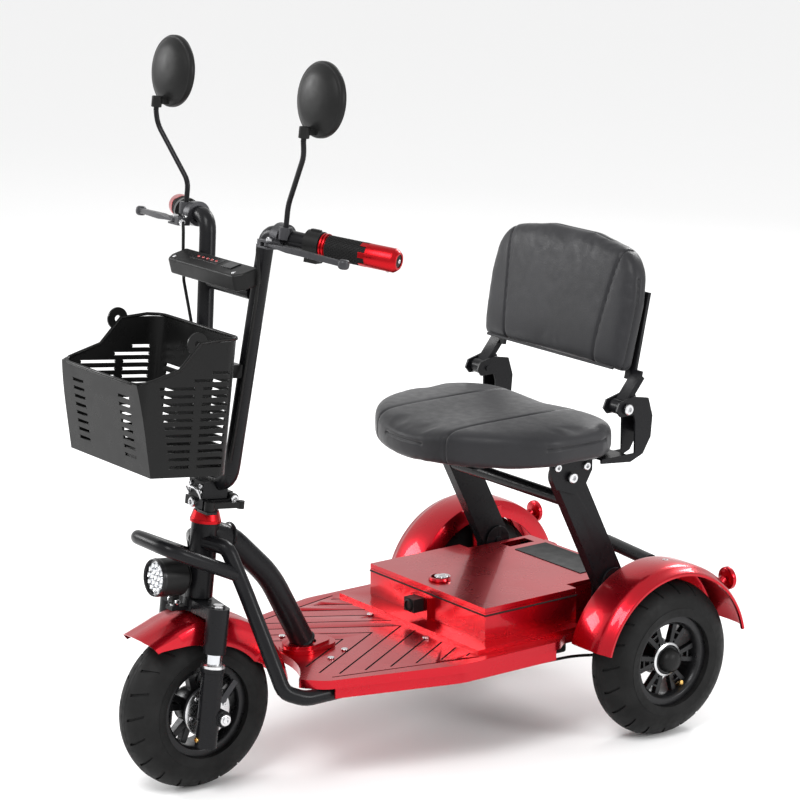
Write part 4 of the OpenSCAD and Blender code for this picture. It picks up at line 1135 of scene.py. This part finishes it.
def build_lever(node, side):
    """A tapered lever blade that ends in a flattened ball, round the CAD lever's pin."""
    body = body_of(node)
    pin = Vector((126, -28, 728))
    tip = Vector((272, 2, 722))
    reach = tip.xy - pin.xy
    turn = math.atan2(reach.y, reach.x)
    place = STEERED @ Matrix.Translation(mirrored_point(pin * MM) if side < 0 else pin * MM)
    bm = bmesh.new()
    turned(bm, mm((0, -2.8), (7, -2.8), (7, 2.8), (0, 2.8)), place, 32)
    turned(bm, mm((0, -6), (3, -6), (3, 6), (0, 6)), place, 24)
    blade = bmesh.new()
    bmesh.ops.create_cube(blade, size=1.0)
    bmesh.ops.bisect_plane(blade, geom=blade.verts[:] + blade.edges[:] + blade.faces[:], plane_co=(0, 0, 0),
                           plane_no=(0, 0, 1))
    for share in (-0.42, -0.34, -0.2, -0.05, 0.1, 0.25, 0.38):
        bmesh.ops.bisect_plane(blade, geom=blade.verts[:] + blade.edges[:] + blade.faces[:],
                               plane_co=(share, 0, 0), plane_no=(1, 0, 0))
    length = reach.length * MM
    for v in blade.verts:
        t = v.co.x + 0.5
        wide = 10 + 5 * math.sin(math.pi * min(1.0, t * 1.6)) - 2 * t
        thick = 5.2 + (4.2 * min(1.0, max(0.0, (t - 0.12) * 6))) - 1.5 * t
        bow = -6 * math.sin(math.pi * t)
        v.co = Vector((t * length, (v.co.y * wide + bow) * MM, (v.co.z * thick - 6.0 * t * t) * MM))
    if side > 0:
        spin = Matrix.Rotation(turn, 4, "Z")
    else:
        spin = Matrix.Rotation(math.pi - turn, 4, "Z") @ Matrix.Diagonal((1, -1, 1, 1))
    bmesh.ops.transform(blade, matrix=place @ spin, verts=blade.verts)
    mesh = bpy.data.meshes.new("blade")
    blade.to_mesh(mesh)
    blade.free()
    bm.from_mesh(mesh)
    bpy.data.meshes.remove(mesh)
    head = place @ spin @ Vector((length, 0, -6 * MM))
    turned(bm, mm((0, -7.5), (5.5, -7), (8, -4.5), (8.5, 0), (8, 4.5), (5.5, 7), (0, 7.5)),
           along(head, STEER_AXIS), 32)
    soften(closed(node + "_finish", bm, "grey_casting", body, "grey_casting", [node]), 1.2 * MM)


def build_controls():
    for node in ("handlebar", "bar_tubes"):
        dress(node, "black_coat", "black_paint")
    dress("control_housings", "black_plastic", "black_plastic", 1.8 * MM)
    dress("switch_slider", "black_plastic", "black_plastic", 1.0 * MM)
    dress("lever_perches", "grey_casting", "grey_casting", 2.0 * MM)
    for node, side in (("brake_lever_left", 1), ("brake_lever_right", -1)):
        build_lever(node, side)
    dress("brake_cables", "cable_sleeve", "cable_black", 0.0)
    dress("control_panel", "black_plastic", "black_plastic", 3.5 * MM)
    for node, side in (("grip_left", 1), ("throttle_grip", -1)):
        build_grip(node, side)
    up = STEER_AXIS
    back = Vector((0, up.z, -up.y))
    bolts("perch_bolts", "handlebar", both_sides([(steered(126 * MM, -28 * MM, 734 * MM), up, 5, 3),
                                                  (steered(112 * MM, -18 * MM, 734 * MM), -back, 3.5, 3)]))
    barrels = bmesh.new()
    for side in (-1, 1):
        at = steered(side * 107 * MM, -30 * MM, 727 * MM)
        turned(barrels, mm((2.6, -8), (5, -8), (5, 4), (4, 6), (2.6, 6), (2.6, -8)),
               along(at, (-side, 0, 0)), 8)
    closed("cable_barrels", barrels, "bright_steel", "handlebar", "steel")
    face = Matrix.Translation(Vector((0, -24, 662)) * MM) @ Matrix.Rotation(math.radians(20), 4, "X")
    panel = STEERED @ face
    lamps = bmesh.new()
    for k in range(5):
        at = panel @ Vector(((-40 + 12 * k) * MM, -4 * MM, 25.8 * MM))
        out = panel.to_3x3() @ Vector((0, 0, 1))
        turned(lamps, mm((0, 0), (2.2, 0), (2.2, 1), (1.4, 2), (0, 2.4)), along(at, out), 16)
    closed("panel_lamps", lamps, "red_lens", "handlebar", "red_lens")
    window = bmesh.new()
    block(window, (-52 * MM, -12 * MM, 25.6 * MM), (20 * MM, 4 * MM, 26.5 * MM), panel)
    block(window, (34 * MM, -14 * MM, 25.6 * MM), (60 * MM, 6 * MM, 27.6 * MM), panel)
    soften(closed("panel_window", window, "black_alloy", "handlebar", "black_plastic"), 0.8 * MM)
    screws = []
    for x in (-80, 80):
        at = panel @ Vector((x * MM, -22 * MM, 26 * MM))
        screws.append((at, panel.to_3x3() @ Vector((0, 0, 1)), 3, 1.6))
    bolts("panel_screws", "handlebar", screws)


def build_mirrors():
    dress("mirror_stems", "black_coat", "black_paint", 0.6 * MM)
    pin = Vector((197, -34, 886)) * MM
    for node, side in (("mirror_left", 1), ("mirror_right", -1)):
        body = body_of(node)
        at = pin + Vector((0, 16, 61)) * MM
        foot = pin.copy()
        if side < 0:
            at, foot = mirrored_point(at), mirrored_point(foot)
        back = STEERED @ along(at, (0, -1, 0))
        bm = bmesh.new()
        turned(bm, mm((0, -11), (50, -11), (51.5, -14), (54, -13.6), (55, -11), (55, -6), (53.5, -3.5),
                      (50.5, -2.8), (49, -1.6), (43, 2.4), (33, 6), (18, 8), (0, 8.6)), back, 80)
        base = STEERED @ Matrix.Translation(foot)
        turned(bm, mm((4.3, 5), (7.5, 5), (8, 6), (8, 21), (7.2, 22), (0, 22), (0, 16), (4.3, 16),
                      (4.3, 5)), base, 32)
        block(bm, (-5 * MM, 0, 10 * MM), (5 * MM, 18 * MM, 22 * MM), base)
        soften(closed(node + "_finish", bm, "black_plastic", body, "black_plastic", [node]), 0.7 * MM)
        glass = bmesh.new()
        turned(glass, mm((0, -12.6), (49.6, -12.2), (49.6, -10.6), (0, -10.6)), back, 80)
        closed(node + "_glass", glass, "mirror_glass", body, "mirror_glass")


SLOT_TALL = 4.8


def slot_cut(cutter, at, w, length, wall):
    """Adds a round-ended slot cutter through the basket's sides, its front or its back."""
    tall = SLOT_TALL
    if wall == "side":
        low, high, across = (-200, at - length / 2, w), (200, at + length / 2, w + tall), (1, 0, 0)
        ends = [(-200, at + s * length / 2, w + tall / 2) for s in (-1, 1)]
        reach = 400
    else:
        v0, v1 = (-300, -150) if wall == "front" else (-60, -40)
        low, high, across = (at - length / 2, v0, w), (at + length / 2, v1, w + tall), (0, 1, 0)
        ends = [(at + s * length / 2, v0, w + tall / 2) for s in (-1, 1)]
        reach = v1 - v0
    block(cutter, Vector(low) * MM, Vector(high) * MM, STEERED)
    for end in ends:
        turned(cutter, [(0, 0), (tall / 2 * MM, 0), (tall / 2 * MM, reach * MM), (0, reach * MM)],
               STEERED @ along(Vector(end) * MM, across), 10)


def build_basket():
    cutter = bmesh.new()
    rows = bpy.context.scene.scooter_sizes.slot_rows
    pitch = 150.0 / rows
    for k in range(rows):
        w = 397 + pitch * k
        front = -187 - (w - 384) * 0.24 + 32
        slots = [(-112, -64), (front, -122)]
        if k == rows - 1:
            slots = [(-98, -64)]
        elif k == rows - 2:
            slots = [(-128, -64)]
        for v0, v1 in slots:
            slot_cut(cutter, (v1 + v0) / 2, w, v1 - v0, "side")
    for k in range(8):
        for u in (-64, 64):
            slot_cut(cutter, u, 406 + 12.5 * k, 34, "front")
            slot_cut(cutter, u, 424 + 12.5 * k, 44, "back")
    bm = carved(node_mesh("basket"), cutter)
    soften(piece("basket_finish", bm, "basket_plastic", "handlebar", "black_plastic", ["basket"]), 0.8 * MM)
    half = [(96, -50, 587), (106, -56, 587), (110.6, -74, 587), (110.6, -120, 581), (110.6, -152, 542),
            (110.6, -190, 528), (108, -206, 523), (98, -216, 520), (84, -219, 519)]
    rim = [steered(u * MM, v * MM, w * MM) for u, v, w in half]
    other = [steered(-u * MM, v * MM, w * MM) for u, v, w in reversed(half)]
    wire("basket_rim", rim + other, 2.6 * MM, "basket_plastic", "handlebar", "black_plastic", closed=True)


LAMP_X = 0.248
LAMP_RISE = math.radians(38)
LAMP_RADIUS = 157.3 * MM
LAMP_OFFSET = Vector((0, 14 * MM, 8 * MM))


def build_lamps():
    for side in (-1, 1):
        name = "left" if side > 0 else "right"
        wheel = middle("rear_tyre_" + name)
        out = Vector((0, math.cos(LAMP_RISE), math.sin(LAMP_RISE)))
        foot = Vector((side * LAMP_X, wheel.y, wheel.z)) + out * LAMP_RADIUS
        stalk = bmesh.new()
        turned(stalk, mm((0, 0), (10, 0), (10, 2), (7, 4), (7, 14), (0, 14)), along(foot, out), 32)
        head = foot + LAMP_OFFSET
        turned(stalk, mm((0, 0), (15, 0), (18.4, 2), (19, 4), (19, 8), (17, 8.4), (0, 8.4)),
               along(head, (0, 1, 0)), 48)
        closed("taillight_cup_" + name, stalk, "candy_paint", "chassis", "red_paint",
              ["taillights"] if side > 0 else ())
        lens = bmesh.new()
        turned(lens, mm((0, 7.8), (16.6, 7.8), (16.6, 10), (14, 11.4), (7, 11.9), (0, 12)),
               along(head, (0, 1, 0)), 48)
        closed("taillight_lens_" + name, lens, "red_lens", "chassis", "red_lens")


# ---- stage ----
CAMERA_PLACE = (3.6449, -2.6681, 1.6539)
CAMERA_AROUND = math.radians(53.50)
CAMERA_ABOVE = math.radians(13.685)
CAMERA_LENS = 133.87


def build_stage():
    scene = bpy.context.scene
    scene.view_settings.view_transform = "Standard"
    world = bpy.data.worlds.new("studio")
    world.use_nodes = True
    world.node_tree.nodes["Background"].inputs["Color"].default_value = (1.0, 1.0, 1.0, 1.0)
    world.node_tree.nodes["Background"].inputs["Strength"].default_value = 0.95
    scene.world = world
    floor = bmesh.new()
    bmesh.ops.create_grid(floor, x_segments=1, y_segments=1, size=60.0)
    mesh = bpy.data.meshes.new("floor")
    floor.to_mesh(mesh)
    floor.free()
    ground = Surface("floor", (0.93, 0.93, 0.93, 1.0), 0.7)
    ground.rough(ground.noise(3.0), 0.6, 0.7)
    mesh.materials.append(ground.material)
    obj = bpy.data.objects.new("floor", mesh)
    scene.collection.objects.link(obj)
    target = Vector((0, 0, 0.5))
    lights = (("key", (1.2, -2.2, 3.2), 1.4, 90.0), ("front", (-2.6, -1.8, 1.6), 1.0, 40.0),
              ("side", (3.2, 1.4, 1.6), 1.0, 45.0), ("rear", (-1.2, 3.0, 2.4), 1.0, 60.0))
    for name, place, size, power in lights:
        light = bpy.data.lights.new(name, "AREA")
        light.energy = power
        light.size = size
        lamp = bpy.data.objects.new(name, light)
        scene.collection.objects.link(lamp)
        lamp.location = place
        lamp.rotation_euler = (Vector(place) - target).to_track_quat("Z", "Y").to_euler()
    around, above = CAMERA_AROUND, CAMERA_ABOVE
    back = Vector((math.sin(around) * math.cos(above), -math.cos(around) * math.cos(above), math.sin(above)))
    right = Vector((math.cos(around), math.sin(around), 0))
    up = back.cross(right)
    camera = bpy.data.cameras.new("camera")
    camera.lens = CAMERA_LENS
    camera.sensor_width = 36.0
    holder = bpy.data.objects.new("camera", camera)
    scene.collection.objects.link(holder)
    turn = Matrix((right, up, back)).transposed().to_4x4()
    holder.matrix_world = Matrix.Translation(CAMERA_PLACE) @ turn
    scene.camera = holder


# ---- operators, one for each group of pieces ----
class SCOOTER_OT_materials(bpy.types.Operator):
    """Makes the scooter's materials"""
    bl_idname = "scooter.materials"
    bl_label = "Materials"

    def execute(self, context):
        make_materials(context.scene.scooter_colours)
        return {"FINISHED"}


class SCOOTER_OT_stage(bpy.types.Operator):
    """Adds the floor, the lights and the camera"""
    bl_idname = "scooter.stage"
    bl_label = "Stage"

    def execute(self, context):
        build_stage()
        return {"FINISHED"}


class SCOOTER_OT_wheels(bpy.types.Operator):
    """Builds the tyres and rims"""
    bl_idname = "scooter.wheels"
    bl_label = "Wheels"

    def execute(self, context):
        sizes = context.scene.scooter_sizes
        build_tyre("front_tyre", "front_rim", sizes)
        build_front_rim("front_rim")
        for name, side in (("left", 1), ("right", -1)):
            build_tyre("rear_tyre_" + name, "rear_rim_" + name, sizes)
            build_rear_rim("rear_rim_" + name, side)
        return {"FINISHED"}


class SCOOTER_OT_fenders(bpy.types.Operator):
    """Builds the mudguards and the rear lamps"""
    bl_idname = "scooter.fenders"
    bl_label = "Fenders"

    def execute(self, context):
        build_front_fender("front_fender")
        for name, side in (("left", 1), ("right", -1)):
            build_rear_fender("rear_fender_" + name, side)
        build_fender_screws()
        build_lamps()
        return {"FINISHED"}


class SCOOTER_OT_frame_tubes(bpy.types.Operator):
    """Finishes the frame's tubes and the rear axle"""
    bl_idname = "scooter.frame_tubes"
    bl_label = "Frame tubes"

    def execute(self, context):
        build_frame_tubes()
        return {"FINISHED"}


class SCOOTER_OT_fork(bpy.types.Operator):
    """Finishes the fork, the steering column and the fold joint"""
    bl_idname = "scooter.fork"
    bl_label = "Fork"

    def execute(self, context):
        build_fork(context.scene.scooter_sizes)
        build_headlight()
        return {"FINISHED"}


class SCOOTER_OT_deck(bpy.types.Operator):
    """Builds the grooved deck and the battery box"""
    bl_idname = "scooter.deck"
    bl_label = "Deck"

    def execute(self, context):
        build_deck(context.scene.scooter_sizes)
        build_box()
        return {"FINISHED"}


class SCOOTER_OT_controls(bpy.types.Operator):
    """Builds the handlebar, its grips, levers, panel and mirrors"""
    bl_idname = "scooter.controls"
    bl_label = "Controls"

    def execute(self, context):
        build_controls()
        build_mirrors()
        return {"FINISHED"}


class SCOOTER_OT_basket(bpy.types.Operator):
    """Builds the slotted basket"""
    bl_idname = "scooter.basket"
    bl_label = "Basket"

    def execute(self, context):
        build_basket()
        return {"FINISHED"}


class SCOOTER_OT_seat(bpy.types.Operator):
    """Builds the seat, its backrest and the posts under it"""
    bl_idname = "scooter.seat"
    bl_label = "Seat"

    def execute(self, context):
        build_seat_base()
        build_seat(context.scene.scooter_sizes)
        build_backrest(context.scene.scooter_sizes)
        return {"FINISHED"}


STEPS = (SCOOTER_OT_materials, SCOOTER_OT_stage, SCOOTER_OT_wheels, SCOOTER_OT_fenders,
         SCOOTER_OT_frame_tubes, SCOOTER_OT_fork, SCOOTER_OT_deck, SCOOTER_OT_controls, SCOOTER_OT_basket,
         SCOOTER_OT_seat)


class SCOOTER_PT_panel(bpy.types.Panel):
    """Lists the steps that build the scooter"""
    bl_idname = "SCOOTER_PT_panel"
    bl_label = "Mobility scooter"
    bl_space_type = "VIEW_3D"
    bl_region_type = "UI"
    bl_category = "Scooter"

    def draw(self, context):
        for group in (context.scene.scooter_sizes, context.scene.scooter_colours):
            for name in group.bl_rna.properties.keys():
                if name not in ("rna_type", "name"):
                    self.layout.prop(group, name)
        for operator in STEPS:
            self.layout.operator(operator.bl_idname)


CLASSES = (ScooterSizes, ScooterColours, *STEPS, SCOOTER_PT_panel)


def register():
    for cls in CLASSES:
        bpy.utils.register_class(cls)
    bpy.types.Scene.scooter_sizes = bpy.props.PointerProperty(type=ScooterSizes)
    bpy.types.Scene.scooter_colours = bpy.props.PointerProperty(type=ScooterColours)


def unregister():
    del bpy.types.Scene.scooter_colours
    del bpy.types.Scene.scooter_sizes
    for cls in reversed(CLASSES):
        bpy.utils.unregister_class(cls)


def main():
    register()
    for operator in STEPS:
        group, name = operator.bl_idname.split(".")
        getattr(getattr(bpy.ops, group), name)()
    bpy.context.view_layer.update()


if __name__ == "__main__":
    main()
